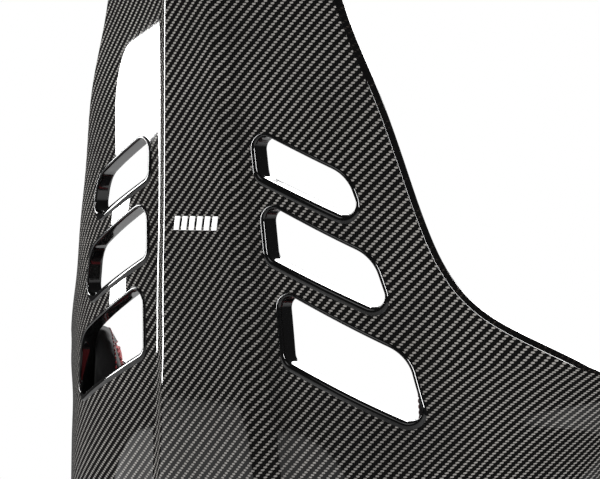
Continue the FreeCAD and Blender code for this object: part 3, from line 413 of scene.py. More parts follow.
def edge_profile():
    """Distance from the shell's edge, and the rear face's drop there: a tight crease, a flat and a round."""
    drop_crease = EDGE_CREASE_RADIUS * (1.0 - math.cos(EDGE_CREASE))
    round_drop = WALL / 2.0 - drop_crease - EDGE_FLAT * math.sin(EDGE_CREASE)
    radius = round_drop / math.cos(EDGE_CREASE)
    turn = np.linspace(math.pi / 2.0, EDGE_CREASE, 8)
    away = radius * (1.0 - np.sin(turn))
    drop = WALL / 2.0 - radius * np.cos(turn)
    away = np.append(away, away[-1] + EDGE_FLAT * math.cos(EDGE_CREASE) * np.array((0.5, 1.0)))
    drop = np.append(drop, drop[-1] - EDGE_FLAT * math.sin(EDGE_CREASE) * np.array((0.5, 1.0)))
    turn = np.linspace(EDGE_CREASE, 0.0, 5)[1:]
    away = np.append(away, away[-1] + EDGE_CREASE_RADIUS * (math.sin(EDGE_CREASE) - np.sin(turn)))
    drop = np.append(drop, EDGE_CREASE_RADIUS * (1.0 - np.cos(turn)))
    return away, drop


def shell_grid():
    """Runs, girths and edge distances of the shell's grid of points, row by row."""
    away, _ = edge_profile()
    band = away[-1]
    down = np.linspace(band, LAST_RUN - band, 236)[1:-1]
    rows = np.concatenate([away, down, LAST_RUN - away[::-1]])
    top, foot, rim = at_run("plateau", rows), foot_girth(rows), rim_girth(rows)
    lean = np.sqrt(1.0 + np.gradient(rim, rows) ** 2)
    stretches = (
        (0.0 * top, top - 2.0, 7), (top - 2.0, foot + 4.0, 14), (foot + 4.0, rim - band * lean, 56),
    )
    half = []
    for low, high, count in stretches:
        share = np.arange(count) / count
        half.append(low[:, None] + (high - low)[:, None] * share)
    half.append(rim[:, None] - lean[:, None] * away[::-1])
    half = np.hstack(half)
    girth = np.hstack([-half[:, :0:-1], half])
    run = np.repeat(rows[:, None], girth.shape[1], axis=1)
    to_rim = (rim[:, None] - np.abs(girth)) / lean[:, None]
    edge = np.minimum(np.minimum(to_rim, run), LAST_RUN - run)
    return run, girth, np.clip(edge, 0.0, None)


def shell_skin(materials):
    """The closed shell before its holes are cut, with the cloth's run and girth as its UV map."""
    run, girth, edge = shell_grid()
    away, drop = edge_profile()
    rear = shell_point(run, girth, np.interp(edge, away, drop))
    radius = WALL / 2.0
    within = np.clip(radius - edge, 0.0, radius)
    front = shell_point(run, girth, WALL - (radius - np.sqrt(radius ** 2 - within ** 2)))
    rows, columns = run.shape
    count = rows * columns
    faces = grid_faces(rows, columns)
    border = np.zeros((rows, columns), bool)
    border[[0, -1], :] = True
    border[:, [0, -1]] = True
    index = np.arange(count)
    twin = np.where(border.ravel(), index, index + count)
    faces_front = [tuple(int(twin[i]) for i in reversed(face)) for face in faces]
    points = np.vstack([rear.reshape(-1, 3), front.reshape(-1, 3)])
    edges = edge.ravel()
    marks = [1 if max(edges[i] for i in face) < away[-1] + 0.01 else 0 for face in faces]
    piece = new_piece("carbon_shell", points, faces + faces_front, materials, marks + [0] * len(faces_front))
    place = np.stack([girth.ravel(), run.ravel()], axis=1)
    place = np.vstack([place, place]) * MM
    tool = bmesh.new()
    tool.from_mesh(piece.data)
    bmesh.ops.delete(tool, geom=[v for v in tool.verts if not v.link_faces], context="VERTS")
    tool.to_mesh(piece.data)
    tool.free()
    kept = np.concatenate([index, index[~border.ravel()] + count])
    layer = piece.data.uv_layers.new(name="cloth")
    corner = np.zeros(len(piece.data.loops), np.int32)
    piece.data.loops.foreach_get("vertex_index", corner)
    layer.data.foreach_set("uv", place[kept][corner].astype(np.float32).ravel())
    return piece


def cutter(material):
    """One mesh of prisms through every opening and bolt insert."""
    points, faces = [], []

    def add(loop_low, loop_high):
        base, count = sum(len(loop) for loop in points), len(loop_low)
        points.extend([loop_low, loop_high])
        faces.extend(grid_faces(2, count, base, wrap=True))
        faces.append(tuple(range(base, base + count)))
        faces.append(tuple(range(base + 2 * count - 1, base + count - 1, -1)))

    spans = {"back": (130.0, 340.0), "wall": (185.0, 250.0), "pan": (40.0, 110.0)}
    for _, (outline, normals), axes, place, side in openings():
        flat = outline + normals * TRIM_WALL
        across = 3 - sum(axes)
        loops = []
        for level in spans[place]:
            loop = np.zeros((len(flat), 3))
            loop[:, axes] = flat
            loop[:, across] = level * (side if place == "wall" else 1.0)
            loops.append(loop)
        add(*loops)
    for _, side in SIDES:
        low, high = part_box(f"shell_inserts_{'left' if side > 0 else 'right'}")
        radius = (high.z - low.z) / MM / 2.0
        turn = np.linspace(0.0, 2.0 * math.pi, 33)[:-1]
        for y in (low.y / MM + radius, high.y / MM - radius):
            height = low.z / MM + radius + radius * np.sin(turn)
            ring = np.stack([0.0 * turn, y + radius * np.cos(turn), height], 1)
            add(ring + (side * 190.0, 0.0, 0.0), ring + (side * 230.0, 0.0, 0.0))
    return new_piece("cutter", np.vstack(points), faces, [material])


def cut_holes(shell):
    """Cut every opening through the shell."""
    tool = cutter(shell.data.materials[0])
    modifier = shell.modifiers.new("openings", "BOOLEAN")
    modifier.operation = "DIFFERENCE"
    modifier.solver = "EXACT"
    modifier.object = tool
    bake_modifiers(shell)
    bpy.data.objects.remove(tool)
    finish_mesh(shell.data)


# Cross-section of a moulded lip: out from the hole's edge as shares of the lip's width, or in
# millimetres, and the inset at which each point lies. The last two points are buried in the wall.
LIP_REAR = (
    (1.0, 0.35), (0.985, -0.15), (0.93, -0.5), (0.8, -0.9), (0.62, -1.2), (0.44, -1.28), (0.28, -1.1),
    (0.15, -0.65), (0.06, 0.1), (0.015, 1.0),
)
LIP_FRONT = (
    (0.0, 2.2), (0.0, 5.0), (0.0, 8.0), (0.0, 11.0), (0.0, 12.6), (0.12, 13.3), (0.5, 13.75), (1.2, 13.95),
    (2.3, 13.95), (3.4, 13.7), (4.0, 13.1), (4.1, 12.2), (2.6, 11.0), (2.6, 1.5),
)


def lip_width(normals, side, style):
    """How far the lip spreads over the shell: widest under a vent and at its inner end."""
    below = np.clip(-normals[:, 1], 0.0, 1.0)
    inner = np.clip(-side * normals[:, 0], 0.0, 1.0)
    return style.vent_lip / MM + style.vent_lip_low / MM * below ** 1.5 + 1.2 * inner ** 2


def make_lip(name, outline, axes, place, side, material, style):
    """A closed ring: a rounded flange on the rear face, the hole's wall, and a flange on the front."""
    points, normals = outline
    width = np.full(len(points), style.belt_lip / MM)
    if "vent" in name:
        width = lip_width(normals, side, style)
    rings = []
    run, girth = first_guess(points, place, side)
    for share, inset in LIP_REAR + LIP_FRONT:
        rear = (share, inset) in LIP_REAR
        away = share * width if rear else np.full(len(points), share)
        level = np.full(len(points), inset)
        run, girth = settle(points + normals * away[:, None], axes, level, run, girth)
        rings.append(shell_point(run, girth, level))
    rings.append(rings[0])
    count = len(points)
    faces = grid_faces(len(rings) - 1, count, wrap=True)
    last = (len(rings) - 2) * count
    faces += [(last + j, last + (j + 1) % count, (j + 1) % count, j) for j in range(count)]
    return new_piece(name, np.vstack(rings[:-1]), faces, [material], sharp=60.0)


# ---------------------------------------------------------------- materials

class Surface:
    """A node material built up by short calls."""

    def __init__(self, name):
        self.material = bpy.data.materials.new(name)
        self.material.use_nodes = True
        self.tree = self.material.node_tree
        self.shader = self.tree.nodes["Principled BSDF"]

    def node(self, kind, **settings):
        made = self.tree.nodes.new(kind)
        for key, value in settings.items():
            setattr(made, key, value)
        return made

    def link(self, source, target):
        self.tree.links.new(source, target)

    def feed(self, socket, value):
        if isinstance(value, bpy.types.NodeSocket):
            self.link(value, socket)
        else:
            socket.default_value = value

    def math(self, operation, a, b=0.0, c=0.0):
        made = self.node("ShaderNodeMath", operation=operation)
        for socket, value in zip(made.inputs, (a, b, c)):
            self.feed(socket, value)
        return made.outputs[0]

    def blend(self, share, a, b):
        """A colour between a and b."""
        made = self.node("ShaderNodeMix", data_type="RGBA")
        self.feed(made.inputs[0], share)
        self.feed(made.inputs[6], a)
        self.feed(made.inputs[7], b)
        return made.outputs[2]

    def between(self, value, low, high, out_low=0.0, out_high=1.0):
        """value carried smoothly from one range to another."""
        made = self.node("ShaderNodeMapRange", interpolation_type="SMOOTHSTEP")
        for socket, given in zip(made.inputs, (value, low, high, out_low, out_high)):
            self.feed(socket, given)
        return made.outputs[0]

    def place(self):
        return self.node("ShaderNodeTexCoord").outputs["Object"]

    def noise(self, scale, detail=3.0, roughness=0.6):
        made = self.node("ShaderNodeTexNoise")
        self.link(self.place(), made.inputs["Vector"])
        made.inputs["Scale"].default_value = scale
        made.inputs["Detail"].default_value = detail
        made.inputs["Roughness"].default_value = roughness
        return made.outputs["Fac"]

    def bump(self, height, distance, strength=1.0):
        made = self.node("ShaderNodeBump")
        made.inputs["Strength"].default_value = strength
        made.inputs["Distance"].default_value = distance
        self.link(height, made.inputs["Height"])
        self.link(made.outputs[0], self.shader.inputs["Normal"])

    def set(self, **sockets):
        for key, value in sockets.items():
            self.feed(self.shader.inputs[key.replace("_", " ")], value)
        return self


def colour(values):
    return (values[0], values[1], values[2], 1.0)


def weave_parts(surface, tow):
    """Whether a crosswise tow is on top, and the rounded height of whichever tow is, in a 2 by 2 twill."""
    uv = surface.node("ShaderNodeUVMap", uv_map="cloth")
    split = surface.node("ShaderNodeSeparateXYZ")
    surface.link(uv.outputs[0], split.inputs[0])
    across = surface.math("DIVIDE", split.outputs[0], tow)
    down = surface.math("DIVIDE", split.outputs[1], tow)
    column, row = surface.math("FLOOR", across), surface.math("FLOOR", down)
    along_weft = surface.math("FLOORED_MODULO", surface.math("SUBTRACT", across, row), 4.0)
    warp_start = surface.math("ADD", column, 1.0)
    along_warp = surface.math("FLOORED_MODULO", surface.math("SUBTRACT", down, warp_start), 4.0)
    weft_up = surface.math("LESS_THAN", along_weft, 2.0)

    def hump(along, crosswise):
        """Height of a tow that floats over two others: round across it and along it."""
        offset = surface.math("MULTIPLY", surface.math("FRACT", crosswise), 2.0)
        offset = surface.math("ABSOLUTE", surface.math("SUBTRACT", offset, 1.0))
        across_it = surface.math("SUBTRACT", 1.0, surface.math("POWER", offset, 2.4))
        along_it = surface.math("SINE", surface.math("MULTIPLY", along, math.pi / 2.0))
        along_it = surface.math("POWER", surface.math("MAXIMUM", along_it, 0.0), 0.8)
        return surface.math("MULTIPLY", across_it, along_it)

    weft, warp = hump(along_weft, down), hump(along_warp, across)
    return weft_up, weft, warp, down


def carbon_material(style):
    """Twill carbon cloth in thick clear resin over near-black: a painted highlight on the crowns of the
    crosswise tows, and a fainter painted highlight on the lengthwise ones.
    """
    surface = Surface("carbon_twill")
    weft_up, weft, warp, down = weave_parts(surface, style.tow)
    shown_weft = surface.math("MULTIPLY", weft_up, weft)
    shown_warp = surface.math("MULTIPLY", surface.math("SUBTRACT", 1.0, weft_up), warp)
    # Painted highlight: the crowns of the crosswise tows are coloured grey in place of the softboxes' glint.
    # Fibre strands and a slow drift vary its strength.
    glint_mask = surface.between(shown_weft, 0.2, 0.8)
    strands = surface.math("SINE", surface.math("MULTIPLY", down, 2.0 * math.pi * 5.0))
    strands = surface.math("MULTIPLY_ADD", strands, 0.10, 0.90)
    drift = surface.between(surface.noise(9.0, 2.0), 0.35, 0.65, 0.85, 1.1)
    painted_glint = surface.math("MULTIPLY", surface.math("MULTIPLY", glint_mask, strands), drift)
    # Fainter painted highlight: the crowns of the lengthwise tows are lifted to dark grey.
    painted_warp_glint = surface.math("MULTIPLY", surface.between(shown_warp, 0.3, 1.0), 0.10)
    tone = surface.blend(painted_glint, (0.0018, 0.0017, 0.0017, 1.0), colour(style.weft))
    tone = surface.blend(painted_warp_glint, tone, (0.030, 0.029, 0.028, 1.0))
    surface.set(Base_Color=tone, Roughness=0.6, Specular_IOR_Level=0.0)
    surface.set(Coat_Weight=1.0, Coat_Roughness=style.gloss, Coat_IOR=1.5)
    surface.bump(surface.math("ADD", shown_weft, shown_warp), 0.00012, 0.35)
    return surface.material


def rim_material(style):
    """The shell's rolled edge: cloth ends drowned in black resin, with faint brown-grey streaks painted as a
    highlight on the tow crowns.
    """
    surface = Surface("rim_resin")
    weft_up, weft, _, _ = weave_parts(surface, style.tow * 0.8)
    # Painted highlight: the peaks of the crosswise tows' crowns, broken up by noise, are lifted to brown-grey.
    painted_streak = surface.math("MULTIPLY", weft_up, surface.math("POWER", weft, 3.0))
    cloud = surface.between(surface.noise(60.0, 2.0), 0.45, 0.7)
    painted_streak = surface.math("MULTIPLY", painted_streak, cloud)
    tone = surface.blend(painted_streak, (0.0016, 0.0015, 0.0015, 1.0), (0.05, 0.04, 0.034, 1.0))
    surface.set(Base_Color=tone, Roughness=0.5, Specular_IOR_Level=0.0)
    surface.set(Coat_Weight=1.0, Coat_Roughness=style.gloss, Coat_IOR=1.5)
    return surface.material


def lip_material():
    """Deep gloss black moulding, with the faint ripple of a polished casting."""
    surface = Surface("gloss_black_lip")
    fleck = surface.between(surface.noise(420.0, 2.0), 0.62, 0.8)
    tone = surface.blend(fleck, (0.0018, 0.0018, 0.0019, 1.0), (0.006, 0.006, 0.006, 1.0))
    surface.set(Base_Color=tone, Roughness=0.05, Specular_IOR_Level=0.5)
    surface.bump(surface.noise(90.0, 1.0), 0.00002, 0.4)
    return surface.material


def badge_material():
    surface = Surface("badge_white")
    tone = surface.blend(surface.noise(900.0, 2.0), (0.86, 0.86, 0.86, 1.0), (0.93, 0.93, 0.93, 1.0))
    surface.set(Base_Color=tone, Roughness=0.35)
    return surface.material


def painted_material(name, base, fleck, roughness, metal=0.0, grain=900.0, depth=0.00002, coat=0.0):
    """A hard finish: fine grain in its tone and height, and rubbed patches."""
    surface = Surface(name)
    patches = surface.between(surface.noise(35.0, 4.0), 0.4, 0.7)
    speckle = surface.noise(grain, 2.0)
    tone = surface.blend(surface.math("MULTIPLY", patches, speckle), colour(base), colour(fleck))
    rough = surface.math("MULTIPLY_ADD", speckle, 0.12, roughness)
    surface.set(Base_Color=tone, Roughness=rough, Metallic=metal, Coat_Weight=coat)
    surface.bump(speckle, depth, 0.6)
    return surface.material


def woven_parts(surface, thread):
    """A plain fabric's thread crowns in object space, so that it needs no UV map."""
    split = surface.node("ShaderNodeSeparateXYZ")
    surface.link(surface.place(), split.inputs[0])
    waves = []
    for axis, lead in ((0, 0.0), (1, 0.6), (2, 1.1)):
        wave = surface.math("MULTIPLY_ADD", split.outputs[axis], 2.0 * math.pi / thread, lead)
        waves.append(surface.math("SINE", wave))
    pair = surface.math("MULTIPLY", waves[0], waves[2])
    crowns = surface.math("ADD", pair, surface.math("MULTIPLY", waves[1], waves[2]))
    return surface.math("MULTIPLY_ADD", crowns, 0.25, 0.5)


def pad_material(name, border, panel, thread=0.0019):
    """Upholstery: napped suede round the border and woven cloth on the sewn-in panel."""
    surface = Surface(name)
    inside = surface.node("ShaderNodeAttribute", attribute_name="panel").outputs["Fac"]
    on_panel = surface.between(inside, -0.6, 0.6)
    nap = surface.noise(1500.0, 3.0, 0.7)
    cloud = surface.noise(24.0, 3.0)
    weave = woven_parts(surface, thread)
    suede = surface.blend(cloud, colour([v * 0.72 for v in border]), colour([v * 1.25 for v in border]))
    suede = surface.blend(surface.between(nap, 0.4, 0.8), suede, colour([v * 1.7 for v in border]))
    # The woven cloth's tone follows its thread crowns: the dips between threads carry painted shade and the
    # crowns are lighter.
    cloth = surface.blend(weave, colour([v * 0.55 for v in panel]), colour([v * 1.2 for v in panel]))
    surface.set(Base_Color=surface.blend(on_panel, suede, cloth), Roughness=0.86, Specular_IOR_Level=0.25)
    surface.set(Sheen_Weight=0.25, Sheen_Roughness=0.5)
    cloth_height = surface.math("MULTIPLY", weave, on_panel)
    nap_height = surface.math("MULTIPLY", nap, surface.math("SUBTRACT", 1.0, on_panel))
    surface.bump(surface.math("ADD", cloth_height, surface.math("MULTIPLY", nap_height, 0.4)), 0.0004, 0.7)
    return surface.material


def thread_material(style):
    surface = Surface("stitch_thread")
    twist = surface.node("ShaderNodeTexWave")
    surface.link(surface.place(), twist.inputs["Vector"])
    twist.inputs["Scale"].default_value = 380.0
    # Painted shade: the thread is darker in the grooves of its twist, following the same wave as its bump.
    tone = surface.blend(twist.outputs["Fac"], colour([v * 0.6 for v in style.thread]), colour(style.thread))
    surface.set(Base_Color=tone, Roughness=0.55, Sheen_Weight=0.2)
    surface.bump(twist.outputs["Fac"], 0.0002, 0.5)
    return surface.material


# ---------------------------------------------------------------- padding, in millimetres

PAD_BACK = 14.7
PAD_ROUND = 9.0
PAD_SHRINK = 1.5


class Pad:
    """A cushion's plan on the shell: two runs, two girth bounds, its thickness and its sewn seams."""

    def __init__(self, name, runs, inner, outer, thick, finish, seam, channels=0.0, side=0.0):
        self.name, self.runs, self.inner, self.outer = name, runs, inner, outer
        self.thick, self.finish, self.seam, self.channels, self.side = thick, finish, seam, channels, side

    def across(self, run):
        """The pad's middle girth and half width at any runs, its ends rounded off."""
        share = (run - sum(self.runs) / 2.0) / (self.runs[1] - self.runs[0]) * 2.0
        inner, outer = self.inner(run), self.outer(run)
        half = (outer - inner) / 2.0 * np.clip(1.0 - np.abs(0.97 * share) ** 5, 0.0, 1.0) ** 0.3
        return (inner + outer) / 2.0, half

    def outline(self):
        """The pad's closed outline on the shell, as runs and unsigned girths, points 2 mm apart."""
        turn = np.linspace(-1.0, 1.0, 90)
        run = sum(self.runs) / 2.0 + np.sin(turn * math.pi / 2.0) * (self.runs[1] - self.runs[0]) / 2.0
        centre, half = self.across(run)
        loop = np.vstack([np.stack([run, centre + half], 1), np.stack([run, centre - half], 1)[::-1]])
        return respaced(loop, 2.0)

    def point(self, run, girth, inset):
        return shell_point(run, girth * (self.side or 1.0), inset)


def respaced(loop, pitch):
    """A closed line's points, evenly spaced at about the pitch."""
    closed = np.vstack([loop, loop[:1]])
    lengths = np.append(0.0, np.cumsum(np.linalg.norm(np.diff(closed, axis=0), axis=1)))
    places = np.linspace(0.0, lengths[-1], max(8, int(lengths[-1] / pitch)) + 1)[:-1]
    return np.stack([np.interp(places, lengths, closed[:, i]) for i in range(closed.shape[1])], 1)


def distance_inside(points, loop):
    """Distance from flat points to a closed line: positive inside it, negative outside."""
    nearest = np.full(len(points), 1e9)
    for start in range(0, len(loop), 64):
        gaps = np.linalg.norm(points[:, None, :] - loop[None, start:start + 64, :], axis=2)
        nearest = np.minimum(nearest, gaps.min(axis=1))
    after = np.roll(loop, -1, axis=0)
    inside = np.zeros(len(points), bool)
    for (ax, ay), (bx, by) in zip(loop, after):
        crosses = (ay > points[:, 1]) != (by > points[:, 1])
        with np.errstate(divide="ignore", invalid="ignore"):
            meets = ax + (points[:, 1] - ay) * (bx - ax) / (by - ay)
        inside ^= crosses & (points[:, 0] < meets)
    return np.where(inside, nearest, -nearest)


def inset_line(loop, distance, pitch):
    """The closed line that runs at a distance inside a closed line."""
    ahead = unit(np.roll(loop, -3, axis=0) - np.roll(loop, 3, axis=0))
    inner = loop + np.stack([-ahead[:, 1], ahead[:, 0]], 1) * distance
    if distance_inside(inner, loop).mean() < 0.0:
        inner = loop - np.stack([-ahead[:, 1], ahead[:, 0]], 1) * distance
    kept = distance_inside(inner, loop) > distance - 0.7
    return respaced(inner[kept], pitch)


def pad_blank(pad, materials):
    """The pad before stuffing: a closed block a little smaller than the finished pad."""
    rows, columns = 34, 26
    first, last = pad.runs
    share = np.sin(np.linspace(-1.0, 1.0, rows) * math.pi / 2.0)
    run = (first + last) / 2.0 + share * ((last - first) / 2.0 - PAD_SHRINK)
    centre, half = pad.across(run)
    over = np.sin(np.linspace(-1.0, 1.0, columns) * math.pi / 2.0)
    girth = centre[:, None] + (half - PAD_SHRINK)[:, None] * over
    run = np.repeat(run[:, None], columns, axis=1)
    crown = (1.0 - 0.35 * over[None, :] ** 2) * (1.0 - 0.3 * share[:, None] ** 4)
    to_side = half[:, None] * (1.0 - np.abs(over[None, :]))
    edge = np.minimum(to_side, (last - first) / 2.0 * (1.0 - np.abs(share))[:, None])
    soften = 1.0 - np.clip(1.0 - edge / PAD_ROUND, 0.0, 1.0) ** 2.6
    top = PAD_BACK + pad.thick * crown * (0.78 + 0.16 * soften)
    low = PAD_BACK + 0.6 + 1.5 * (1.0 - soften)
    front, rear = pad.point(run, girth, top), pad.point(run, girth, low)
    points = np.vstack([front.reshape(-1, 3), rear.reshape(-1, 3)])
    return new_piece(pad.name, points, slab_faces(rows, columns), materials, sharp=180.0)


def coordinates(mesh):
    flat = np.zeros(len(mesh.vertices) * 3, np.float32)
    mesh.vertices.foreach_get("co", flat)
    return flat.reshape(-1, 3).astype(float)


def shell_place(points, run, girth):
    """Runs, signed girths and insets of points near the shell's front face, from a rough start."""
    for _ in range(10):
        base = smooth_point(run, girth)
        normal = inward(run, girth)
        down = smooth_point(run + 1.0, girth) - base
        out = smooth_point(run, girth + 1.0) - base
        gap = points - base
        inset = (gap * normal).sum(axis=1)
        gap = gap - normal * inset[:, None]
        run = run + np.clip((gap * down).sum(axis=1) / (down * down).sum(axis=1), -15.0, 15.0)
        girth = girth + np.clip((gap * out).sum(axis=1) / (out * out).sum(axis=1), -15.0, 15.0)
    return run, girth, inset


def nearest_start(pad, points):
    """A rough run and girth for each point, from a coarse grid over the pad."""
    run = np.linspace(*pad.runs, 24)
    centre, half = pad.across(run)
    over = np.linspace(-1.0, 1.0, 15)
    girth = (centre[:, None] + half[:, None] * over) * (pad.side or 1.0)
    run = np.repeat(run[:, None], len(over), axis=1)
    grid = shell_point(run, girth, PAD_BACK + pad.thick / 2.0).reshape(-1, 3)
    found = np.zeros(len(points), int)
    for start in range(0, len(points), 2000):
        gaps = np.linalg.norm(points[start:start + 2000, None, :] - grid[None], axis=2)
        found[start:start + 2000] = gaps.argmin(axis=1)
    return run.ravel()[found], girth.ravel()[found]


def stuff(piece, style):
    """Swell a pad's cover with foam: cloth under pressure, its movement capped, then smoothed once."""
    remesh = piece.modifiers.new("voxels", "REMESH")
    remesh.mode = "VOXEL"
    remesh.voxel_size = style.voxel
    mesh = bake_modifiers(piece)
    start = coordinates(mesh)
    cloth = piece.modifiers.new("cover", "CLOTH")
    cloth.settings.use_pressure = True
    cloth.settings.uniform_pressure_force = style.pressure
    cloth.settings.effector_weights.gravity = 0.0
    cloth.settings.tension_stiffness = 12.0
    cloth.settings.bending_stiffness = 0.6
    scene = bpy.context.scene
    for step in range(1, style.steps + 1):
        scene.frame_set(step)
    shown = piece.evaluated_get(bpy.context.evaluated_depsgraph_get())
    swollen = coordinates(shown.data)
    piece.modifiers.clear()
    scene.frame_set(1)
    move = swollen - start
    reach = np.linalg.norm(move, axis=1, keepdims=True)
    start = start + move * np.minimum(1.0, style.cap / np.maximum(reach, 1e-9))
    mesh.vertices.foreach_set("co", start.astype(np.float32).ravel())
    mesh.update()
    smooth = piece.modifiers.new("relax", "SMOOTH")
    smooth.factor, smooth.iterations = 0.5, 4
    finer = piece.modifiers.new("finer", "SUBSURF")
    finer.levels = finer.render_levels = 1
    return bake_modifiers(piece)


def groove(distance, half_width, depth):
    """Depth of a sewn groove at a distance from its line."""
    return depth * np.exp(-(distance / half_width) ** 2)


def sew(piece, pad):
    """Press the seams and channels into a stuffed pad, keep it off the shell, and mark its panel."""
    mesh = piece.data
    points = coordinates(mesh) / MM
    run, girth = nearest_start(pad, points)
    run, girth, inset = shell_place(points, run, girth)
    flat = np.stack([run, girth * (pad.side or 1.0)], 1)
    inside = distance_inside(flat, pad.outline())
    front = np.clip((inset - PAD_BACK - 0.3 * pad.thick) / (0.2 * pad.thick), 0.0, 1.0)
    sink = groove(inside - pad.seam, 2.4, 2.2)
    if pad.channels:
        phase = (run - pad.runs[0] - pad.seam) / pad.channels
        off_line = (phase - np.round(phase)) * pad.channels
        sink = np.maximum(sink, groove(off_line, 3.2, 2.6) * (inside > pad.seam))
    highest = PAD_BACK + pad.thick + 3.0
    level = np.clip(inset, PAD_BACK + 0.2, highest) - inset - sink * front
    points = points + inward(run, girth) * level[:, None]
    mesh.vertices.foreach_set("co", (points * MM).astype(np.float32).ravel())
    mark = mesh.attributes.new("panel", "FLOAT", "POINT")
    mark.data.foreach_set("value", np.where(front > 0.3, inside - pad.seam, -5.0).astype(np.float32))
    finish_mesh(mesh, 180.0)


def stitch_shapes(places, tangents, normals, long, thick):
    """Sausage-shaped stitches lying along their tangents, half sunk in the cloth."""
    around, stages = 7, 6
    turn = np.linspace(0.0, 2.0 * math.pi, around + 1)[:-1]
    along = np.linspace(-1.0, 1.0, stages)
    belly = np.clip(1.0 - np.abs(along) ** 3, 0.05, 1.0) ** 0.5
    side = unit(np.cross(normals, tangents))
    points, faces = [], []
    for place, tangent, normal, cross in zip(places, tangents, normals, side):
        base = len(points) * stages * around
        bow = normal * (0.35 * thick)
        ring = (place + bow)[None, None, :] + tangent * (along * long / 2.0)[:, None, None]
        ring = ring + (np.cos(turn)[None, :, None] * cross + np.sin(turn)[None, :, None] * normal) * (
            belly * thick / 2.0)[:, None, None]
        points.append(ring.reshape(-1, 3))
        faces += grid_faces(stages, around, base, wrap=True)
        faces.append(tuple(range(base, base + around)))
        faces.append(tuple(range(base + stages * around - 1, base + (stages - 1) * around - 1, -1)))
    return np.vstack(points), faces


def stitch_rows(piece, pad, material, style):
    """Two rows of stitches beside the front seam, and one row round the pad's side."""
    corners = [vertex.co / MM for vertex in piece.data.vertices]
    tree = BVHTree.FromPolygons(corners, [face.vertices for face in piece.data.polygons])
    loop = pad.outline()
    pitch = style.pitch / MM
    rows = [(inset_line(loop, pad.seam + away, pitch), "front") for away in (-3.4, 3.4)]
    rows.append((inset_line(loop, 0.3, pitch), "side"))
    places, tangents, normals = [], [], []
    for line, where in rows:
        run, girth = line[:, 0], line[:, 1] * (pad.side or 1.0)
        if where == "front":
            start = shell_point(run, girth, PAD_BACK + pad.thick + 25.0)
            aim = -inward(run, girth)
        else:
            middle = loop.mean(axis=0)
            outer = line + unit(line - middle) * 14.0
            level = PAD_BACK + pad.thick * 0.62
            start = shell_point(outer[:, 0], outer[:, 1] * (pad.side or 1.0), level)
            aim = unit(shell_point(run, girth, level) - start)
        hits = [tree.ray_cast(Vector(a), Vector(b), 60.0) for a, b in zip(start, aim)]
        found = np.array([list(hit[0]) if hit[0] else [np.nan] * 3 for hit in hits])
        facing = np.array([list(hit[1]) if hit[1] else [np.nan] * 3 for hit in hits])
        along = np.roll(found, -1, axis=0) - np.roll(found, 1, axis=0)
        reach = np.linalg.norm(along, axis=1)
        good = (reach > 0.5 * pitch) & (reach < 4.0 * pitch)
        places.append(found[good])
        tangents.append(unit(along[good]))
        normals.append(facing[good])
    points, faces = stitch_shapes(np.vstack(places), np.vstack(tangents), np.vstack(normals), pitch * 0.62,
                                  style.thread_thick / MM)
    return new_piece(f"{pad.name}_stitching", points, faces, [material], sharp=180.0)


def pads():
    """Every cushion of the seat, with the middle ones first and then each side's bolsters."""
    def fixed(value):
        return lambda run: value + 0.0 * run

    def taper(side):
        return lambda run: side * (38.0 + 0.13 * (run - 274.0))

    def wing_inner(run):
        return 180.0 - 28.0 * ease((run - 668.0) / 60.0)

    def below_rim(gap):
        return lambda run: rim_girth(run) - gap

    found = [
        Pad("head_cushion", (22.0, 186.0), fixed(-96.0), fixed(96.0), 34.0, "centre", 24.0),
        Pad("back_cushion", (274.0, 640.0), taper(-1.0), taper(1.0), 30.0, "centre", 15.0, 46.0),
        Pad("lumbar_cushion", (648.0, 842.0), fixed(-118.0), fixed(118.0), 38.0, "centre", 26.0, 36.0),
        Pad("base_cushion", (990.0, 1232.0), fixed(-150.0), fixed(150.0), 46.0, "centre", 30.0, 45.5),
        Pad("front_cushion", (1284.0, 1408.0), fixed(-150.0), fixed(150.0), 46.0, "centre", 26.0),
    ]
    for name, side in SIDES:
        bolsters = (
            ("wing", (547.0, 728.0), wing_inner, 16.0, 26.0, 22.0),
            ("hip", (784.0, 925.0), fixed(190.0), 16.0, 26.0, 22.0),
            ("thigh", (1120.0, 1392.0), fixed(196.0), 14.0, 20.0, 20.0),
        )
        for place, runs, inner, rim_gap, thick, seam in bolsters:
            outer = below_rim(rim_gap)
            found.append(Pad(f"{place}_bolster_{name}", runs, inner, outer, thick, "bolster", seam, side=side))
    return found


PAD_NODES = {
    "head_cushion": "head_pad", "back_cushion": "back_pad", "lumbar_cushion": "lumbar_pad",
    "base_cushion": "seat_cushion", "front_cushion": "leg_cushion",
}
for SIDE_NAME, _ in SIDES:
    for PLACE in ("wing", "hip", "thigh"):
        PAD_NODES[f"{PLACE}_bolster_{SIDE_NAME}"] = f"{PLACE}_pad_{SIDE_NAME}"


# ---------------------------------------------------------------- settings

def length(name, default, description):
    return FloatProperty(name=name, default=default, min=0.0, unit="LENGTH", subtype="DISTANCE", precision=5,
                         description=description)


def tint(name, default, description):
    return FloatVectorProperty(name=name, default=default, size=3, min=0.0, max=1.0, subtype="COLOR",
                               description=description)


class ShellStyle(bpy.types.PropertyGroup):
    tow: length("Tow", 0.002, "Width of one carbon tow in the cloth")
    # The crosswise tows' tint is a painted highlight, the glint on their crowns; the carbon itself is
    # near-black.
    weft: tint("Crosswise Tows", (0.30, 0.287, 0.27), "Colour of the tows that catch the light")
    gloss: FloatProperty(name="Resin Roughness", default=0.03, min=0.0, max=1.0,
                         description="Roughness of the clear resin over the cloth")
    vent_lip: length("Vent Lip", 0.0032, "How far a vent's lip spreads over the shell")
    vent_lip_low: length("Vent Lip Below", 0.0034, "How much further it spreads under the vent")
    belt_lip: length("Belt Lip", 0.0045, "How far the lip of a belt opening spreads over the shell")


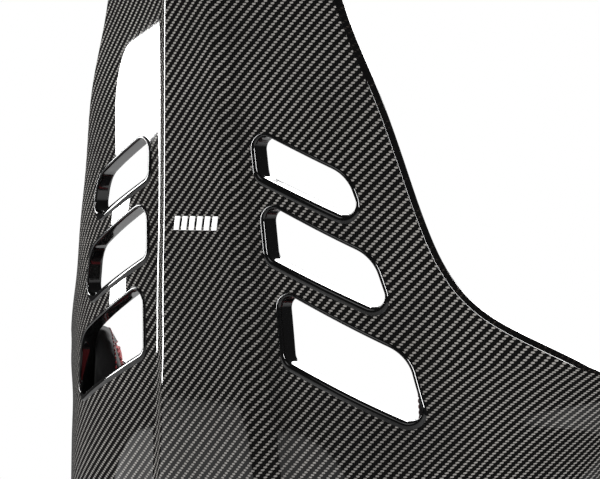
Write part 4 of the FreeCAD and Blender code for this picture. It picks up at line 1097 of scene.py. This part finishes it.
class PadStyle(bpy.types.PropertyGroup):
    border: tint("Suede", (0.020, 0.020, 0.021), "Colour of the napped suede borders")
    centre: tint("Centre Cloth", (0.030, 0.030, 0.032), "Colour of the woven cloth on the middle cushions")
    bolster: tint("Bolster Cloth", (0.52, 0.012, 0.020), "Colour of the woven cloth on the bolsters")
    thread: tint("Thread", (0.62, 0.012, 0.022), "Colour of the stitching")
    thread_thick: length("Thread Thickness", 0.0011, "Thickness of a stitch")
    pitch: length("Stitch Pitch", 0.0052, "Distance from one stitch to the next")
    voxel: length("Cover Mesh", 0.005, "Grid that a cover is remeshed to before it is stuffed")
    cap: length("Most Swell", 0.006, "How far stuffing may push any point of a cover")
    pressure: FloatProperty(name="Stuffing Pressure", default=4.0, min=0.0,
                            description="Pressure that swells a cover")
    steps: IntProperty(name="Stuffing Steps", default=20, min=1,
                       description="Frames that the stuffing runs for")


class HardwareStyle(bpy.types.PropertyGroup):
    powder: tint("Powder Coat", (0.012, 0.012, 0.013), "Colour of the brackets, rails and release bar")
    zinc: tint("Zinc Plate", (0.55, 0.56, 0.58), "Colour of the plated bolts, runners and levers")
    brass: tint("Brass", (0.62, 0.42, 0.16), "Colour of the threaded inserts")
    nylon: tint("Nylon", (0.78, 0.77, 0.73), "Colour of the rail glides")
    rubber: tint("Grip Rubber", (0.018, 0.018, 0.018), "Colour of the release bar's grip")


class StageStyle(bpy.types.PropertyGroup):
    lens: FloatProperty(name="Lens", default=130.98, min=1.0, unit="CAMERA", description="Focal length")
    camera: FloatVectorProperty(name="Camera", default=(-1.1747, 1.5431, 0.5301), size=3, subtype="XYZ",
                                unit="LENGTH", description="Where the camera stands")
    heading: FloatProperty(name="Heading", default=math.radians(219.97), subtype="ANGLE",
                           description="The camera's turn about the vertical, from looking along +Y")
    tilt: FloatProperty(name="Tilt", default=math.radians(-0.2), subtype="ANGLE",
                        description="The camera's rise")
    roll: FloatProperty(name="Roll", default=math.radians(1.007), subtype="ANGLE",
                        description="The camera's turn about its own view")
    key: FloatProperty(name="Side Softbox", default=90.0, min=0.0,
                       description="Brightness of the tall side softbox")
    fill: FloatProperty(name="Broad Softboxes", default=70.0, min=0.0,
                        description="Brightness of the softboxes behind and in front")
    air: FloatProperty(name="Room Light", default=0.07, min=0.0, description="Light from the whole room")
    floor: tint("Floor", (0.80, 0.80, 0.80), "Colour of the floor")


# ---------------------------------------------------------------- operators

class SeatOperator:
    bl_options = {"REGISTER", "UNDO"}


class SEAT_OT_shell(SeatOperator, bpy.types.Operator):
    """Build the carbon shell, with its rolled edge and every opening cut"""
    bl_idname = "seat.shell"
    bl_label = "Carbon Shell"

    def execute(self, context):
        style = context.scene.seat_shell
        shell = shell_skin([carbon_material(style), rim_material(style)])
        cut_holes(shell)
        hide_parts("shell")
        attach(shell, "seat")
        return {"FINISHED"}


class SEAT_OT_lips(SeatOperator, bpy.types.Operator):
    """Line the vents, belt windows and belt slots with gloss black lips"""
    bl_idname = "seat.lips"
    bl_label = "Opening Lips"

    def execute(self, context):
        material = lip_material()
        for node, outline, axes, place, side in openings():
            lip = make_lip(node.replace("trim", "lip"), outline, axes, place, side, material,
                           context.scene.seat_shell)
            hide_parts(node)
            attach(lip, "seat")
        return {"FINISHED"}


class SEAT_OT_badge(SeatOperator, bpy.types.Operator):
    """Set a row of plain slanted bars on the spine"""
    bl_idname = "seat.badge"
    bl_label = "Spine Badge"

    def execute(self, context):
        low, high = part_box("spine_badge")
        count, slant, thick, pitch, lowest = 6, 2.4, 0.7, 1.55, 465.0
        half = high.x / MM - slant / 2.0
        tall = (high.z - low.z) / MM
        top = lowest - tall
        width = 2.0 * half / (count + (count - 1) * (pitch - 1.0))
        points, faces = [], []
        for i in range(count):
            start = -half + i * width * pitch
            across, down = np.meshgrid(np.linspace(0.0, width, 5), np.linspace(0.0, tall, 6))
            girth = start + across + slant * (down / tall - 0.5)
            edge = np.minimum(np.minimum(across, width - across), np.minimum(down, tall - down))
            base = sum(len(block) for block in points)
            front = shell_point(top + down, girth, -thick + 0.25 * (edge < 0.01))
            back = shell_point(top + down, girth, np.full(girth.shape, -0.02))
            points += [front.reshape(-1, 3), back.reshape(-1, 3)]
            faces += slab_faces(*girth.shape, base)
        badge = new_piece("spine_bars", np.vstack(points), faces, [badge_material()])
        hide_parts("spine_badge")
        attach(badge, "seat")
        return {"FINISHED"}


class SEAT_OT_pads(SeatOperator, bpy.types.Operator):
    """Cut, stuff and sew every cushion and bolster"""
    bl_idname = "seat.pads"
    bl_label = "Cushions and Bolsters"

    def execute(self, context):
        style = context.scene.seat_pads
        covers = {
            "centre": pad_material("pad_centre", style.border, style.centre),
            "bolster": pad_material("pad_bolster", style.border, style.bolster, 0.0016),
        }
        thread = thread_material(style)
        for pad in pads():
            piece = pad_blank(pad, [covers[pad.finish]])
            stuff(piece, style)
            sew(piece, pad)
            stitching = stitch_rows(piece, pad, thread, style)
            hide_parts(PAD_NODES[pad.name])
            for part in (piece, stitching):
                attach(part, "seat")
        return {"FINISHED"}


class SEAT_OT_hardware(SeatOperator, bpy.types.Operator):
    """Give the brackets, rails, fasteners, latch and release bar their finishes"""
    bl_idname = "seat.hardware"
    bl_label = "Hardware Finishes"

    def execute(self, context):
        style = context.scene.seat_hardware
        powder, zinc = list(style.powder), list(style.zinc)
        finishes = {
            "bracket": painted_material("bracket_black", powder, [0.05] * 3, 0.42, grain=1400.0, coat=0.2),
            "rail": painted_material("rail_black", powder, [0.08] * 3, 0.36, grain=900.0, coat=0.15),
            "zinc": painted_material("zinc_steel", zinc, [0.74] * 3, 0.24, 1.0, 500.0),
            "brass": painted_material("insert_brass", list(style.brass), [0.8, 0.62, 0.3], 0.28, 1.0, 500.0),
            "nylon": painted_material("nylon_white", list(style.nylon), [0.9] * 3, 0.5, 0.0, 300.0),
            "spring": painted_material("spring_steel", [0.30] * 3, [0.5] * 3, 0.3, 1.0, 700.0),
            "bar": painted_material("bar_black", powder, [0.05] * 3, 0.3, grain=1100.0, coat=0.3),
            "rubber": painted_material("grip_rubber", list(style.rubber), [0.04] * 3, 0.75, 0.0, 1600.0,
                                       0.0001),
            "hook": painted_material("hook_tape", [0.012] * 3, [0.05] * 3, 0.9, 0.0, 2200.0, 0.0006),
        }
        groups = {
            "side_bracket": "bracket", "floor_rail": "rail", "rail_stops": "rail", "side_bolts": "zinc",
            "side_washers": "zinc", "rail_bolts": "zinc", "pivot_pin": "zinc", "runner": "zinc",
            "latch_lever": "zinc", "shell_inserts": "brass", "glides": "nylon", "return_spring": "spring",
            "release_bar": "bar", "bar_grip": "rubber", "hook_strips": "hook",
        }
        for node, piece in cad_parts.items():
            for start, finish in groups.items():
                if node.startswith(start):
                    piece.data.materials.clear()
                    piece.data.materials.append(finishes[finish])
        return {"FINISHED"}


def softbox(name, place, aim, size, power, spread, lean=0.0):
    """A rectangular area light that looks at a point, its spread and sideways lean in degrees."""
    light = bpy.data.lights.new(name, "AREA")
    light.shape = "RECTANGLE"
    light.size, light.size_y = size
    light.energy = power
    light.spread = math.radians(spread)
    lamp = bpy.data.objects.new(name, light)
    facing = (Vector(aim) - Vector(place)).to_track_quat("-Z", "Y").to_matrix().to_4x4()
    lamp.matrix_world = Matrix.Translation(place) @ facing @ Matrix.Rotation(math.radians(lean), 4, "Z")
    bpy.context.scene.collection.objects.link(lamp)
    return lamp


class SEAT_OT_stage(SeatOperator, bpy.types.Operator):
    """Set the floor, the room light, the softboxes and the camera"""
    bl_idname = "seat.stage"
    bl_label = "Studio"

    def execute(self, context):
        style = context.scene.seat_stage
        world = bpy.data.worlds.new("studio")
        world.use_nodes = True
        tree = world.node_tree
        ray = tree.nodes.new("ShaderNodeLightPath")
        seen = tree.nodes.new("ShaderNodeMix")
        seen.data_type = "RGBA"
        tree.links.new(ray.outputs["Is Camera Ray"], seen.inputs[0])
        seen.inputs[6].default_value = (style.air, style.air, style.air, 1.0)
        seen.inputs[7].default_value = (1.0, 1.0, 1.0, 1.0)
        tree.links.new(seen.outputs[2], tree.nodes["Background"].inputs[0])
        context.scene.world = world

        ground = bpy.data.meshes.new("floor")
        reach = 1.7
        corners = [(-reach, -reach, 0), (reach, -reach, 0), (reach, reach, 0), (-reach, reach, 0)]
        ground.from_pydata(corners, [], [(0, 1, 2, 3)])
        surface = Surface("floor_paint")
        shade = colour([v * 0.97 for v in style.floor])
        tone = surface.blend(surface.noise(3.0, 2.0), shade, colour(style.floor))
        surface.set(Base_Color=tone, Roughness=0.7)
        ground.materials.append(surface.material)
        floor = bpy.data.objects.new("floor", ground)
        context.scene.collection.objects.link(floor)

        # Tall boxes stand level, so that their reflections run straight down the shell's long panels.
        softbox("side_softbox", (2.7, 1.49, 2.1), (0.0, 0.46, 2.1), (0.46, 4.2), style.key, 100.0, -8.0)
        softbox("edge_strip", (-2.3, 1.22, 0.98), (0.0, 0.3, 0.9), (0.30, 1.2), style.key * 0.17, 90.0)
        softbox("rear_softbox", (-0.9, 3.1, 2.4), (0.0, 0.1, 0.55), (1.8, 1.4), style.fill * 0.04, 70.0)
        softbox("front_softbox", (0.7, -2.7, 2.2), (0.0, 0.0, 0.5), (1.8, 1.4), style.fill * 0.4, 70.0)

        lens = bpy.data.cameras.new("camera")
        lens.lens = style.lens
        lens.sensor_width = 36.0
        lens.clip_start, lens.clip_end = 0.05, 60.0
        camera = bpy.data.objects.new("camera", lens)
        turn = Matrix.Rotation(style.heading, 4, "Z") @ Matrix.Rotation(math.pi / 2.0 + style.tilt, 4, "X")
        camera.matrix_world = Matrix.Translation(style.camera) @ turn @ Matrix.Rotation(style.roll, 4, "Z")
        context.scene.collection.objects.link(camera)
        context.scene.camera = camera
        context.scene.view_settings.view_transform = "Standard"
        return {"FINISHED"}


class SEAT_PT_panel(bpy.types.Panel):
    bl_label = "Racing Seat"
    bl_idname = "SEAT_PT_panel"
    bl_space_type = "VIEW_3D"
    bl_region_type = "UI"
    bl_category = "Racing Seat"

    def draw(self, context):
        for operator, settings in STEPS:
            box = self.layout.box()
            box.operator(operator.bl_idname)
            if settings:
                group = getattr(context.scene, settings)
                for name in group.bl_rna.properties.keys():
                    if name not in ("rna_type", "name"):
                        box.prop(group, name)


STEPS = (
    (SEAT_OT_shell, "seat_shell"), (SEAT_OT_lips, None), (SEAT_OT_badge, None), (SEAT_OT_pads, "seat_pads"),
    (SEAT_OT_hardware, "seat_hardware"), (SEAT_OT_stage, "seat_stage"),
)
GROUPS = {
    "seat_shell": ShellStyle, "seat_pads": PadStyle, "seat_hardware": HardwareStyle, "seat_stage": StageStyle,
}
CLASSES = tuple(GROUPS.values()) + tuple(operator for operator, _ in STEPS) + (SEAT_PT_panel,)


def register():
    for item in CLASSES:
        bpy.utils.register_class(item)
    for name, group in GROUPS.items():
        setattr(bpy.types.Scene, name, PointerProperty(type=group))


def unregister():
    for name in GROUPS:
        delattr(bpy.types.Scene, name)
    for item in reversed(CLASSES):
        bpy.utils.unregister_class(item)


def main():
    register()
    for operator, _ in STEPS:
        category, action = operator.bl_idname.split(".")
        getattr(getattr(bpy.ops, category), action)()


if __name__ == "__main__":
    main()
